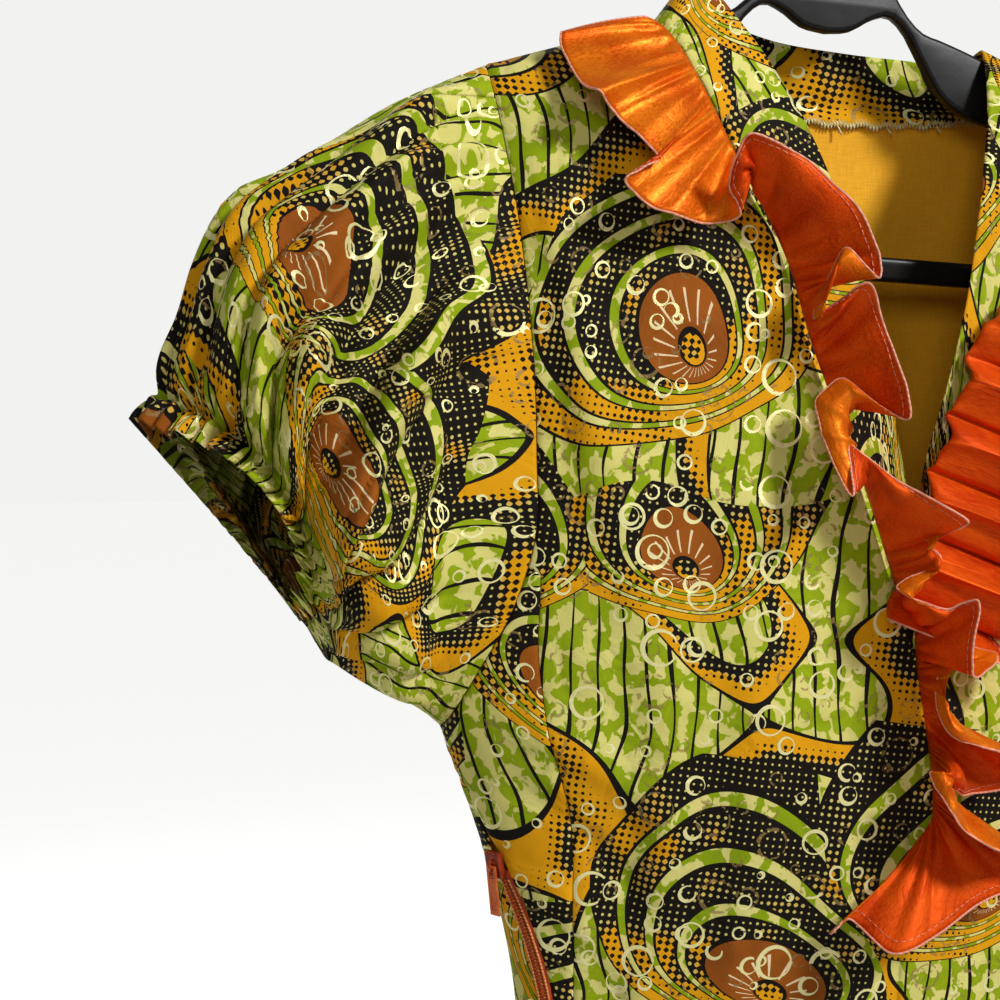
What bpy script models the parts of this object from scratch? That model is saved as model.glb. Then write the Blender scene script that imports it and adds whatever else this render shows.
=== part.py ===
"""Ankara wax print dress with puff sleeves and a satin ruffle, hung on a plastic hanger.

Run with: blender --background --python part.py
Units are metres, +Z is up and the front of the dress faces -Y, so the wearer's right is -X.
The origin is the point inside the top of the hook that rests on the rail. Sizes below are in
millimetres, and MM turns them to metres where a mesh is made.
"""
import math

import bmesh
import bpy
import numpy as np
from mathutils import Matrix, Vector

MM = 0.001

# Cloth
WALL = 1.2              # thickness of every cloth wall
SEAM = 0.2              # each piece stops this far short of its seam line
SIDE_SEAM = 0.35        # and this far at the side seams, where the tube turns sharply
ARMHOLE_GAP = 0.4       # panels stop this far inside the armhole seam line
SLEEVE_GAP = 1.2        # and the sleeves this far outside it
NECK_GAP = 1.4          # the back stops this far under the neck band's seam line
CLEAR = 0.45            # gap between a piece and the piece it lies on

# Stance on the hanger
CENTRE_X = 14.0         # the dress has slipped this far towards the wearer's left
HANGER_ROLL = 3.0       # degrees that the hanger tips towards that side
APEX_X = -5.0           # where the two shoulder lines would meet
APEX_Z = -77.4
SLOPE_RIGHT = 0.29      # fall of the shoulder line for each mm outwards
SLOPE_LEFT = 0.395
RISE = 40.0             # how fast the cloth falls away from the shoulder line
RIDGE = 0.9             # front and back stop this far from the shoulder line

HEM_Z = -1088.0
ARMPIT_Z = -407.0
PRINCESS_TOP_Z = -336.0
V_SEAM_Z = -365.0       # where the two band seams meet at the centre front

# The tube of the dress, a row for each height: half width, depth of the front and of the back,
# and the angle by which the side seam has turned towards the front.
BODY = {
    "z": (-1088, -900, -740, -640, -545, -500, -480, -455, -432, -407, -300, -200, -120, -70),
    "half_width": (236, 219, 200, 181, 161, 167, 172, 179, 187, 196, 196, 196, 196, 196),
    "front": (62, 60, 57, 51, 46, 51, 54, 58, 60, 61, 61, 55, 50, 48),
    "back": (58, 56, 52, 44, 37, 40, 41, 43, 44, 45, 45, 44, 42, 40),
    "seam_angle": (9, 11, 15, 19, 21, 17, 14, 9, 3, 0, 0, 0, 0, 0),
}
# Seam lines, as distance from the centre line at each height
ARMHOLE = {
    "z": (-407, -384, -354, -324, -287, -245, -207, -188, -154, -122),
    "out": (196, 185, 170, 161, 160, 161, 164, 166, 171, 176),
}
PRINCESS = {
    "z": (-1088, -900, -740, -640, -545, -500, -439, -403, -373, -336, -320),
    "out": (168, 158, 150, 144, 141, 142, 147, 156, 160, 159, 160),
}
# Heights at which every panel has a row, so that seam edges run side by side: (height, rows)
LOW_LEVELS = ((-740, 6), (-690, 1), (-676, 1), (-545, 4), (-466, 3), (-455, 1), (-407, 2))
EDGE_STRIP = 2.2        # narrow strip along each seam, as wide as its stitched allowance shows

HEM_FOLD_DEPTH = 7.0     # soft vertical folds of the skirt
HEM_FOLD_TOP = -607.0   # height at which the folds start
HEM_FOLD_WAVE = 71.0    # width of one fold
SHOULDER_HALF = 176.0   # from the centre line to the shoulder tip

# Neck band fronts, a row for each height from the V point to the shoulder seam.
BAND_RIGHT = {
    "row": (0, 1, 2, 3, 4, 5, 6, 7, 8),
    "seam_x": (13, 7, -10, -30, -42, -60, -73, -82, -87),
    "seam_z": (-361.5, -351, -300, -246, -204, -165, -133, -112, -102),
    "edge_x": (11, 8, 3, -3, -11, -22, -38, -55, -67),
    "edge_y": (-57, -55, -51, -44, -35, -26, -15, -6, -1.4),
    "edge_z": (-311, -292, -258, -222, -186, -152, -118, -92, -76),
}
BAND_LEFT = {
    "row": (0, 1, 2, 3, 4, 5, 6, 7, 8),
    "seam_x": (15, 20, 37, 58, 71, 86, 96, 104, 108),
    "seam_z": (-361.5, -351, -300, -246, -204, -168, -145, -130, -122),
    "edge_x": (16, 19, 31, 43, 52, 59, 65, 69, 72),
    "edge_y": (-57, -55, -51, -44, -36, -28, -19, -10, -1.4),
    "edge_z": (-311, -292, -258, -222, -186, -160, -136, -118, -105.5),
}
BAND_SHARES = tuple(i / 11 for i in range(11)) + (0.977, 1.0)

# Back of the neck, a row for each step round it from the right shoulder seam to the left one.
BAND_BACK = {
    "seam_x": (-87, -78, -58, -25, 14, 50, 80, 98, 108),
    "seam_z": (-102, -111, -121, -129, -132, -132, -130, -127, -122),
    "edge_x": (-67, -63, -50, -22, 14, 42, 60, 68, 72),
    "edge_y": (1.4, 8, 17, 22, 23, 22, 17, 8, 1.4),
    "edge_z": (-76, -83, -93, -101, -105, -107, -109, -109, -105.5),
}

# Right sleeve, a row for each ring from the armhole to the edge of the frill: its top and bottom
# points, half depths to front and back, how far its front is drawn back along the sleeve, the
# depth of the pleats and of the fine gathers, and the angle at which the cap yoke ends.
SLEEVE = {
    "top_x": (-164, -182, -204, -230, -252, -271, -284, -291, -298, -302, -307),
    "top_z": (-124, -132, -143, -160, -175, -190, -215, -244, -261, -268, -280),
    "bottom_x": (-183, -187, -193, -202, -211, -221, -230, -236, -238, -242, -247),
    "bottom_z": (-407, -403, -399, -394, -388, -381, -374, -368, -364, -360, -352),
    "front": (31, 35, 41, 47, 51, 51, 46, 40, 34, 34, 38),
    "back": (27, 33, 39, 45, 48, 46, 42, 38, 35.5, 34.5, 35),
    "lean": (0, 0, 2, 5, 9, 13, 17, 20, 22, 22, 22),
    "pleat": (0, 1.2, 2.6, 3.6, 4.2, 4.0, 3.0, 1.2, 0, 0, 0),
    "gather": (0, 0, 0, 0, 0, 0.3, 0.7, 1.1, 1.3, 1.3, 1.6),
    "cap_angle": (27, 25, 22, 17, 11, 4, 0, 0, 0, 0, 0),
}
SLEEVE_RINGS = 11
CAP_RINGS = 6           # rings that the cap yoke spans
CAP_SEAM = 0.35         # half of the seam beside the yoke, in degrees
PLEATS = 9              # large soft pleats round the sleeve
GATHERS = 27            # fine gathers round the cuff

# Right ruffle, a row for each turn of its free edge: where along the strip it is sewn (0 at the
# shoulder, 1 at the end of the cascade), the place of the free edge and how far it stands out
# from the front of the dress.
RUFFLE_RIGHT = {
    "along": (0.0, 0.025, 0.06, 0.10, 0.14, 0.18, 0.215, 0.25, 0.28, 0.31, 0.34,
              0.365, 0.385, 0.42, 0.455, 0.49, 0.52, 0.54, 0.565, 0.60, 0.625, 0.66,
              0.70, 0.735, 0.76, 0.79, 0.83, 0.87, 0.90, 0.93, 0.96, 0.98, 1.0),
    "x": (-128, -131, -122, -112, -94, -110, -99, -65, -63, -41, -30,
          -26, -26, -28, -27, -19, -18, -24, -31, -21, -27, -9,
          6, 5, -1, 11, 20, 14, 12, 26, 34, 10, -23),
    "z": (-119, -127, -149, -150, -170, -180, -191, -195, -166, -173, -189,
          -203, -213, -222, -226, -252, -267, -268, -271, -304, -290, -302,
          -315, -328, -344, -359, -378, -402, -419, -427, -461, -479, -488),
    "stand": (6, 8, 16, 14, 10, 22, 20, 16, 30, 26, 25,
              24, 19, 18, 24, 29, 30, 21, 10, 14, 26, 30,
              32, 26, 16, 26, 36, 22, 18, 38, 42, 30, 14),
}
CASCADE_X = (14, 17, 20, 23, 24, 25)    # the sewn line of the cascade, down from the V
CASCADE_Z = (-380, -395, -412, -430, -450, -470)
RUFFLE_WAVES_LEFT = 9
RUFFLE_REACH = 40.0     # how far the left ruffle falls outwards, and by how much its waves
RUFFLE_REACH_WAVE = 5.0
RUFFLE_STAND = 13.0     # how far its free edge stands out, and by how much its waves
RUFFLE_STAND_WAVE = 9.0

# Side zip
ZIP_TOP_Z = -455.0
ZIP_LENGTH = 230.0
ZIP_CHAIN = 6.4         # width of the coil that shows
ZIP_TAPE = 17.0
ZIP_OPENING = 4.0       # half width of the gap between the folded edges beside the coil
SLIDER_SIZE = (8.6, 12.0, 3.2)
SLIDER_FOOT = 0.7       # underside of the slider over the seam line
SLIDER_BELOW = 12.0     # middle of the slider below the top of the zip
CROWN_RADIUS = 2.5      # the loop that the pull hangs in
CROWN_WIRE = 0.6
PIVOT = 4.85            # axis of the pull over the seam line
PULL_LENGTH = 23.0
PULL_WIDTH = 5.4
PULL_THICK = 1.0
PULL_BAR = 0.6          # half width of the bar in the loop
PULL_WINDOW = (2.4, 4.6, 4.0)
PULL_PANEL = (3.0, 7.0, 1.0)
PULL_PANEL_Y = -16.4
PULL_PANEL_DEPTH = 0.3
PULL_LEAN = 5.0         # degrees that the hanging pull stands out from the line of the coil

# Hanger, right arm before it is tipped: upper and lower edges at each distance from the hook line
ARM = {
    "x": (0, 12, 22, 30, 38, 46, 56, 68, 88, 118, 146, 156),
    "upper": (-58, -60, -68, -79, -90, -97, -100, -103.6, -110.8, -121.6, -131.6, -139),
    "lower": (-102, -100, -94, -92, -98, -110, -124, -132, -137, -142, -147, -146),
}
ARM_THICK = 7.0
ARM_ROUND = 2.3
BAR_Z = -205.0
BAR_HEIGHT = 11.0
HOOK_RADIUS = 22.0
HOOK_WIRE = 3.4


# ------------------------------------------------------------------ tools

def smooth(table, key, column, value):
    """Read a column of a table on a smooth curve through its rows, at the given key value."""
    keys = np.array(table[key], float)
    rows = np.array(table[column], float)
    if keys[0] > keys[-1]:
        keys, rows = keys[::-1], rows[::-1]
    slopes = np.gradient(rows, keys)
    value = np.clip(value, keys[0], keys[-1])
    i = np.clip(np.searchsorted(keys, value) - 1, 0, len(keys) - 2)
    step = keys[i + 1] - keys[i]
    t = (value - keys[i]) / step
    return ((1 + 2 * t) * (1 - t) ** 2 * rows[i] + t * (1 - t) ** 2 * step * slopes[i]
            + t * t * (3 - 2 * t) * rows[i + 1] - t * t * (1 - t) * step * slopes[i + 1])


def along_rows(table, column, count):
    """A column of a table, resampled to count steps on a smooth curve."""
    rows = dict(table)
    rows["row"] = np.arange(len(table[column]))
    return smooth(rows, "row", column, np.linspace(0, len(table[column]) - 1, count))


def ease(t):
    """0 to 1 with a soft start and end."""
    t = np.clip(t, 0.0, 1.0)
    return t * t * (3 - 2 * t)


def add_node(name, mesh, material, collection):
    obj = bpy.data.objects.new(name, mesh)
    obj.data.materials.append(material)
    collection.objects.link(obj)
    return obj


def turn_outwards(bm, inside):
    """Turn all faces away from a point (mm) inside the garment."""
    inside = Vector(inside) * MM
    bm.normal_update()
    facing = sum((f.calc_center_median() - inside).dot(f.normal) * f.calc_area() for f in bm.faces)
    if facing < 0:
        bmesh.ops.reverse_faces(bm, faces=bm.faces)


def wall_mesh(name, bm, material, inside, thickness=WALL):
    """Make a named cloth piece from an open surface, walled inwards."""
    turn_outwards(bm, inside)
    mesh = bpy.data.meshes.new(name)
    bm.to_mesh(mesh)
    bm.free()
    mesh.shade_smooth()
    obj = add_node(name, mesh, material, COLLECTION)
    wall = obj.modifiers.new("wall", "SOLIDIFY")
    wall.thickness = thickness * MM
    wall.offset = -1.0
    return obj


def cloth(name, grid, material, inside, closed_from=None, thickness=WALL):
    """A cloth wall on a grid of points (rows, columns, xyz) given in mm. From the row
    closed_from on, the two end columns are one line, so that the piece is a tube there."""
    rows, columns = grid.shape[:2]
    bm = bmesh.new()
    verts = []
    for r in range(rows):
        closed = closed_from is not None and r >= closed_from
        line = [bm.verts.new(grid[r, c] * MM) for c in range(columns - closed)]
        if closed:
            line.append(line[0])
        verts.append(line)
    for r in range(rows - 1):
        for c in range(columns - 1):
            corners = [verts[r][c], verts[r][c + 1], verts[r + 1][c + 1], verts[r + 1][c]]
            bm.faces.new(corners)
    return wall_mesh(name, bm, material, inside, thickness)


# ------------------------------------------------------------------ the form of the dress

def shoulder_z(x):
    """Height of the shoulder line over a place x."""
    return APEX_Z - np.where(x < APEX_X, SLOPE_RIGHT * (APEX_X - x), SLOPE_LEFT * (x - APEX_X))


def fall(x, z):
    """0 on the shoulder line, rising to 1 as the cloth falls clear of the hanger."""
    drop = np.maximum(shoulder_z(x) - z, 0.02)
    return (drop / (drop + RISE)) ** 0.6


def hem_fold(x, z):
    """Soft folds that grow towards the hem."""
    grow = ease((HEM_FOLD_TOP - z) / (HEM_FOLD_TOP - HEM_Z))
    return HEM_FOLD_DEPTH * grow * np.sin((x - CENTRE_X) / HEM_FOLD_WAVE * 2 * math.pi)


def tube(side, angle, z, inset=0.0):
    """Point on the tube of the dress. side is -1 for the wearer's right; angle is measured from
    the side, positive to the front, in degrees; inset moves the point inwards."""
    half = smooth(BODY, "z", "half_width", z) - inset
    a = np.radians(angle)
    x = CENTRE_X + side * half * np.cos(a)
    depth = np.where(a > 0, smooth(BODY, "z", "front", z), smooth(BODY, "z", "back", z)) - inset
    y = -depth * np.sin(a) * fall(x, z)
    folds = hem_fold(x, z) * np.abs(np.sin(a)) * np.where(a > 0, -1, 1)
    return np.stack(np.broadcast_arrays(x, y + folds, z), axis=-1)


def angle_at(out, z):
    """Angle of the point at a distance out from the centre line."""
    half = smooth(BODY, "z", "half_width", z)
    return np.degrees(np.arccos(np.clip(out / half, -1, 1)))


def front_point(x, z, stand=0.0):
    """Point on the front of the dress at x and z, moved out from it by stand."""
    side = -1 if x < CENTRE_X else 1
    angle = angle_at(abs(x - CENTRE_X), z)
    p = tube(side, angle, z)
    q = tube(side, angle + 1.0, z)
    r = tube(side, angle, z - 2.0)
    n = np.cross(q - p, r - p) * side
    n /= np.linalg.norm(n)
    return p + n * stand


def seam_arc(angle, z, length):
    """Turn a length along the tube into degrees."""
    half = smooth(BODY, "z", "half_width", z)
    depth = smooth(BODY, "z", "front", z)
    a = np.radians(angle)
    return np.degrees(length / np.hypot(half * np.sin(a), depth * np.cos(a)))


def side_gap(side, z):
    """Half width of the side seam's gap, which opens beside the zip on the right."""
    if side > 0 or z > ZIP_TOP_Z:
        return np.interp(z, (ZIP_TOP_Z, ARMPIT_Z), (SIDE_SEAM, SIDE_SEAM * 2))
    ends = (ZIP_TOP_Z - ZIP_LENGTH - 5, ZIP_TOP_Z - ZIP_LENGTH + 9, ZIP_TOP_Z - 11, ZIP_TOP_Z)
    return np.interp(z, ends, (SIDE_SEAM, ZIP_OPENING, ZIP_OPENING, SIDE_SEAM))


def levels(*stops):
    """Heights from the hem up: each stop is (height, number of rows up to it)."""
    z = [HEM_Z]
    for stop, count in stops:
        z += list(np.linspace(z[-1], stop, count + 1)[1:])
    return np.array(z)


def across(start, end, count, strip_start, strip_end):
    """Angles from start to end, with a narrow strip beside the seam at either end."""
    step = np.sign(end - start)
    first = [start, start + step * strip_start] if strip_start else [start]
    last = [end - step * strip_end, end] if strip_end else [end]
    return np.array(first + list(np.linspace(first[-1], last[0], count)[1:-1]) + last)


def tip_of(side):
    """Height of the shoulder tip."""
    return float(shoulder_z(CENTRE_X + side * SHOULDER_HALF))


# ------------------------------------------------------------------ fronts and back

def half_front(side):
    """One half of the centre front, rows from hem to shoulder, columns from the centre out."""
    band = BAND_RIGHT if side < 0 else BAND_LEFT
    tip_z = tip_of(side) - 0.1
    rows = []
    columns = 9
    for z in levels(*LOW_LEVELS, (V_SEAM_Z, 2)):
        outer = angle_at(smooth(PRINCESS, "z", "out", z), z)
        outer = outer + seam_arc(outer, z, SEAM)
        angles = across(90, outer, columns - 1, 0, seam_arc(outer, z, EDGE_STRIP))
        rows.append(tube(side, angles, np.full(len(angles), z)))
    for t in BAND_SHARES[1:]:
        at = t * (len(band["row"]) - 1)
        x_in = smooth(band, "row", "seam_x", at) + side * (SEAM + 0.1)
        z_in = smooth(band, "row", "seam_z", at)
        z_out = V_SEAM_Z + (tip_z - V_SEAM_Z) * t
        seam_line = PRINCESS if z_out < PRINCESS_TOP_Z - 5 else ARMHOLE
        x_out = CENTRE_X + side * (smooth(seam_line, "z", "out", z_out) - SEAM)
        width = abs(x_out - x_in)
        s = across(0, 1, columns - 1, EDGE_STRIP / width, EDGE_STRIP / width)[1:]
        s[0] = 0.0
        x = x_in + (x_out - x_in) * s
        z = z_in + (z_out - z_in) * s
        if t == 1.0:
            z = shoulder_z(x) - 0.05
        row = tube(side, angle_at(np.abs(x - CENTRE_X), z), z)
        if t == 1.0:
            row[:, 1] = -RIDGE
        rows.append(row)
    return np.array(rows)


def front_centre(material):
    """Both halves of the centre front, joined below the V."""
    grids = []
    bm = bmesh.new()
    for half in (half_front(-1), half_front(1)):
        grids.append([[bm.verts.new(p * MM) for p in row] for row in half])
    for r in range(1 + sum(count for _, count in LOW_LEVELS) + 2):
        bm.verts.remove(grids[1][r][0])
        grids[1][r][0] = grids[0][r][0]
    for grid, turned in zip(grids, (False, True)):
        for r in range(len(grid) - 1):
            for c in range(len(grid[0]) - 1):
                corners = [grid[r][c], grid[r + 1][c], grid[r + 1][c + 1], grid[r][c + 1]]
                bm.faces.new(corners[::-1] if turned else corners)
    wall_mesh("front_centre", bm, material, (CENTRE_X, 0, V_SEAM_Z))


def front_side(side, name, material):
    """Side front: rows from the hem to the point where armhole and princess seam meet."""
    rows = []
    top = V_SEAM_Z + (tip_of(side) - V_SEAM_Z) * BAND_SHARES[1]
    for z in levels(*LOW_LEVELS, (V_SEAM_Z, 2), (top, 1)):
        inner = angle_at(smooth(PRINCESS, "z", "out", z), z)
        inner = inner - seam_arc(inner, z, SEAM)
        if z <= ARMPIT_Z:
            outer = smooth(BODY, "z", "seam_angle", z)
            outer = outer + seam_arc(outer, z, side_gap(side, z))
        else:
            outer = angle_at(smooth(ARMHOLE, "z", "out", z) - ARMHOLE_GAP, z)
        width = (inner - outer) / 6
        inner_strip = min(width, seam_arc(inner, z, EDGE_STRIP))
        outer_strip = min(width, seam_arc(outer, z, EDGE_STRIP))
        angles = across(inner, outer, 5, inner_strip, outer_strip)
        rows.append(tube(side, angles, np.full(len(angles), z)))
    cloth(name, np.array(rows), material, (CENTRE_X, 0, V_SEAM_Z))


def half_back(side):
    """One half of the back, rows from the hem up, columns from the side seam to the centre."""
    rows = []
    columns = 9
    for z in levels(*LOW_LEVELS):
        outer = smooth(BODY, "z", "seam_angle", z)
        outer = outer - seam_arc(outer, z, side_gap(side, z))
        angles = across(outer, -90, columns, seam_arc(outer, z, EDGE_STRIP), 0)
        rows.append(tube(side, angles, np.full(len(angles), z)))
    top_out, top_in = tip_of(side) - 16, -140
    for t in np.arange(1, 9) / 8:
        z_out = ARMPIT_Z + (top_out - ARMPIT_Z) * t
        z_in = ARMPIT_Z + (top_in - ARMPIT_Z) * t
        outer = -angle_at(smooth(ARMHOLE, "z", "out", z_out) - ARMHOLE_GAP, z_out)
        angles = across(outer, -90, columns, seam_arc(outer, z_out, EDGE_STRIP), 0)
        z = z_out + (z_in - z_out) * (angles - outer) / (-90 - outer)
        rows.append(tube(side, angles, z))
    neck_x, neck_z = along_rows(BAND_BACK, "seam_x", 25), along_rows(BAND_BACK, "seam_z", 25)
    below, x = rows[-1][:, 2], rows[-1][:, 0].copy()
    tip_x = CENTRE_X + side * (smooth(ARMHOLE, "z", "out", tip_of(side)) - ARMHOLE_GAP)
    x = CENTRE_X + (x - CENTRE_X) * (tip_x - CENTRE_X) / (x[0] - CENTRE_X)
    top = np.minimum(shoulder_z(x) - 0.05, np.interp(x, neck_x, neck_z, left=0, right=0) - NECK_GAP)
    for t in (0.5, 0.85, 1.0):
        z = below + (top - below) * t
        row = tube(side, -angle_at(np.abs(x - CENTRE_X), z), z)
        if t == 1.0:
            row[:, 1] = np.where(z > shoulder_z(x) - 0.3, RIDGE, row[:, 1])
        rows.append(row)
    return np.array(rows)


def back_grid():
    """The whole back, columns from the right side seam round to the left one."""
    return np.concatenate([half_back(-1), half_back(1)[:, -2::-1]], axis=1)


def back(material):
    cloth("back", back_grid(), material, (CENTRE_X, 0, V_SEAM_Z))


def moved(grid, distance, inside):
    """A grid of points moved along its own normals, away from a point inside the dress."""
    along = np.gradient(grid, axis=0)
    over = np.gradient(grid, axis=1)
    normal = np.cross(along, over)
    normal /= np.linalg.norm(normal, axis=-1, keepdims=True)
    turn = np.sign((normal * (grid - np.array(inside))).sum(axis=-1, keepdims=True))
    return grid + normal * turn * distance


def lining_back(material):
    """Bodice lining behind the back, from just under the neck seam to the waist."""
    grid = moved(back_grid(), -(WALL + CLEAR), (CENTRE_X, 0, -300))
    waist = 6 + 1 + 1 + 4
    cloth("lining_back", grid[waist:-1, 3:-3], material, (CENTRE_X, 0, V_SEAM_Z), thickness=1.0)


# ------------------------------------------------------------------ neck band

def neck_band(side, name, material, columns=4):
    """Front of the neck band, from the V point to the shoulder seam."""
    band = BAND_RIGHT if side < 0 else BAND_LEFT
    rows = []
    for t in BAND_SHARES[:-2] + (1.0,):
        at = t * (len(band["row"]) - 1)
        read = {key: float(smooth(band, "row", key, at)) for key in band}
        seam_x, seam_z = read["seam_x"] - side * SEAM, read["seam_z"]
        edge = np.array([read["edge_x"], read["edge_y"], read["edge_z"]])
        share = 2.5 * (1.2 - t) / np.hypot(edge[0] - seam_x, edge[2] - seam_z)
        seam = front_point(seam_x, seam_z)
        strip = front_point(seam_x + (edge[0] - seam_x) * share, seam_z + (edge[2] - seam_z) * share)
        if t == 1.0:
            seam[1] = strip[1] = edge[1] = -RIDGE
        s = np.linspace(0, 1, columns)[1:, None]
        rows.append(np.vstack([seam, strip, strip + (edge - strip) * s]))
    cloth(name, np.array(rows), material, (CENTRE_X, 40, -320))


def neck_band_back(material, columns=5, steps=21):
    """Low stand round the back of the neck."""
    read = {key: along_rows(BAND_BACK, key, steps) for key in BAND_BACK}
    rows = []
    for i in range(steps):
        x, z = read["seam_x"][i], read["seam_z"][i] + 0.5
        side = -1 if x < CENTRE_X else 1
        seam = tube(side, -angle_at(abs(x - CENTRE_X), z), z)
        edge = np.array([read["edge_x"][i], read["edge_y"][i], read["edge_z"][i]])
        if i in (0, steps - 1):
            seam[1] = RIDGE
            edge[1] = RIDGE
        rows.append(seam + (edge - seam) * np.linspace(0, 1, columns)[:, None])
    cloth("neck_band_back", np.array(rows), material, (CENTRE_X, -10, -118))


# ------------------------------------------------------------------ sleeves

def sleeve_ring(ring, angles):
    """Points of one ring of the right sleeve. Angle 0 is the top, 90 the front, 180 the bottom."""
    read = {key: float(along_rows(SLEEVE, key, SLEEVE_RINGS)[ring]) for key in SLEEVE}
    top = np.array([read["top_x"], 0.0, read["top_z"]])
    bottom = np.array([read["bottom_x"], 0.0, read["bottom_z"]])
    middle, reach = (top + bottom) / 2, (top - bottom) / 2
    a = np.radians(angles)
    front = np.sin(a)
    depth = np.where(front > 0, read["front"], read["back"])
    along = np.array([reach[2], 0.0, -reach[0]])
    along = along / np.linalg.norm(along)
    if along[0] > 0:
        along = -along
    points = middle + np.cos(a)[:, None] * reach
    points[:, 1] -= depth * front
    points -= (read["lean"] * np.maximum(front, 0) ** 1.5)[:, None] * along
    outwards = np.cos(a)[:, None] * reach / np.linalg.norm(reach)
    outwards[:, 1] -= front
    pleat = read["pleat"] * np.sin(a * PLEATS + 0.7) * (0.6 + 0.4 * np.abs(front))
    gather = read["gather"] * np.cos(a * GATHERS)
    return points + outwards * (pleat + gather)[:, None]


def armhole_ring(side, angles):
    """A sleeve's first ring, on the armhole seam itself."""
    points = []
    for angle in angles:
        turn = angle % 360
        down = (1 - math.cos(math.radians(turn))) / 2
        tip_z = tip_of(side) - 0.3
        z = tip_z + (ARMPIT_Z - tip_z) * down
        out = smooth(ARMHOLE, "z", "out", z)
        where = float(angle_at(out, z))
        point = tube(side, where if turn < 180 else -where, z)
        point[0] += side * SLEEVE_GAP
        if abs(point[1]) < 1:
            point[2] -= 0.2 if turn < 90 or turn > 270 else -0.5
        points.append(point)
    return np.array(points)


def sleeve_grid(side, span, columns):
    """Rings of a sleeve between two angles, which span(ring) gives, from the armhole out."""
    rows = []
    for ring in range(SLEEVE_RINGS):
        angles = np.linspace(*span(ring), columns)
        if ring == 0:
            rows.append(armhole_ring(side, angles))
            continue
        points = sleeve_ring(ring, angles)
        if side > 0:
            share = np.clip((points[:, 2] - ARMPIT_Z) / (tip_of(-1) - ARMPIT_Z), 0, 1)
            points[:, 0] = 2 * CENTRE_X - points[:, 0]
            points[:, 2] += (tip_of(1) - tip_of(-1)) * share
        rows.append(points)
    return np.array(rows)


def cap_end(ring):
    """Angle from the top at which the cap yoke ends on a ring."""
    return SLEEVE["cap_angle"][ring] if ring < CAP_RINGS else 0.0


def sleeve(side, word, material):
    """Cap yoke over the top, and the pleated rest with its shirred cuff and frill."""
    middle = (CENTRE_X + side * 249, 0, -270)
    puff = sleeve_grid(side, lambda ring: (cap_end(ring) + CAP_SEAM * (ring < CAP_RINGS),
                                           360 - cap_end(ring) - CAP_SEAM * (ring < CAP_RINGS)),
                       GATHERS * 2 + 1)
    cloth("sleeve_" + word, puff, material, middle, closed_from=CAP_RINGS)
    cap = sleeve_grid(side, lambda ring: (CAP_SEAM - cap_end(ring), cap_end(ring) - CAP_SEAM), 7)
    cloth("sleeve_cap_" + word, cap[:CAP_RINGS], material, middle)


# ------------------------------------------------------------------ ruffles

def base_line(side, steps):
    """The seam that a ruffle is caught in, from the shoulder to the V, then down the front."""
    band = BAND_RIGHT if side < 0 else BAND_LEFT
    xs = list(along_rows(band, "seam_x", 24)[::-1])
    zs = list(along_rows(band, "seam_z", 24)[::-1] - 2.5)
    if side < 0:
        xs += list(CASCADE_X)
        zs += list(CASCADE_Z)
    xs, zs = np.array(xs), np.array(zs)
    run = np.concatenate([[0], np.cumsum(np.hypot(np.diff(xs), np.diff(zs)))])
    at = np.array(steps) * run[-1]
    return np.interp(at, run, xs), np.interp(at, run, zs)


def ruffle_right(material, rows=5, between=3):
    """The wearer's right ruffle, with the cascade down the centre front."""
    turns = len(RUFFLE_RIGHT["x"])
    count = (turns - 1) * between + 1
    read = {key: along_rows(RUFFLE_RIGHT, key, count) for key in RUFFLE_RIGHT}
    base_x, base_z = base_line(-1, read["along"])
    grid = []
    for i in range(count):
        base = front_point(base_x[i], base_z[i], WALL + CLEAR)
        foot = front_point(base_x[i], base_z[i], WALL + CLEAR + 5)
        edge = front_point(read["x"][i], min(read["z"][i], shoulder_z(read["x"][i]) - 2),
                           WALL + CLEAR + read["stand"][i])
        line = []
        for t in np.linspace(0, 1, rows):
            lift = np.array(base) * (1 - t) ** 2 + 2 * t * (1 - t) * (foot * 0.55 + edge * 0.45)
            line.append(lift + edge * t * t)
        grid.append(line)
    cloth("ruffle_right", np.array(grid), material, (CENTRE_X, 60, -300), thickness=1.0)


def ruffle_left(material, rows=5):
    """The wearer's left ruffle, which falls outwards in even waves."""
    count = RUFFLE_WAVES_LEFT * 5 + 1
    along = np.linspace(0, 1, count)
    base_x, base_z = base_line(1, along)
    grid = []
    for i, s in enumerate(along):
        wave = math.sin(s * RUFFLE_WAVES_LEFT * 2 * math.pi)
        shift = 3.0 * math.sin(s * RUFFLE_WAVES_LEFT * 4 * math.pi)
        line = []
        for t in np.linspace(0, 1, rows):
            reach = t * (RUFFLE_REACH + RUFFLE_REACH_WAVE * wave)
            x = base_x[i] + reach * 0.93
            z = base_z[i] - reach * 0.36 - shift * t
            z = min(z, float(shoulder_z(x)) - 3 - 4 * t)
            stand = WALL + CLEAR + t * (RUFFLE_STAND + RUFFLE_STAND_WAVE * wave)
            line.append(front_point(x, z, stand))
        grid.append(line)
    cloth("ruffle_left", np.array(grid), material, (CENTRE_X, 60, -300), thickness=1.0)


# ------------------------------------------------------------------ side zip

def zip_point(z, across, stand):
    """Point over the right side seam, across mm towards the front and stand mm out of it."""
    angle = smooth(BODY, "z", "seam_angle", z)
    angle = angle + seam_arc(angle, z, across)
    p = tube(-1, angle, z)
    q = tube(-1, angle + 1.0, z)
    r = tube(-1, angle, z - 2.0)
    n = np.cross(r - p, q - p)
    return p + n / np.linalg.norm(n) * stand


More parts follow.
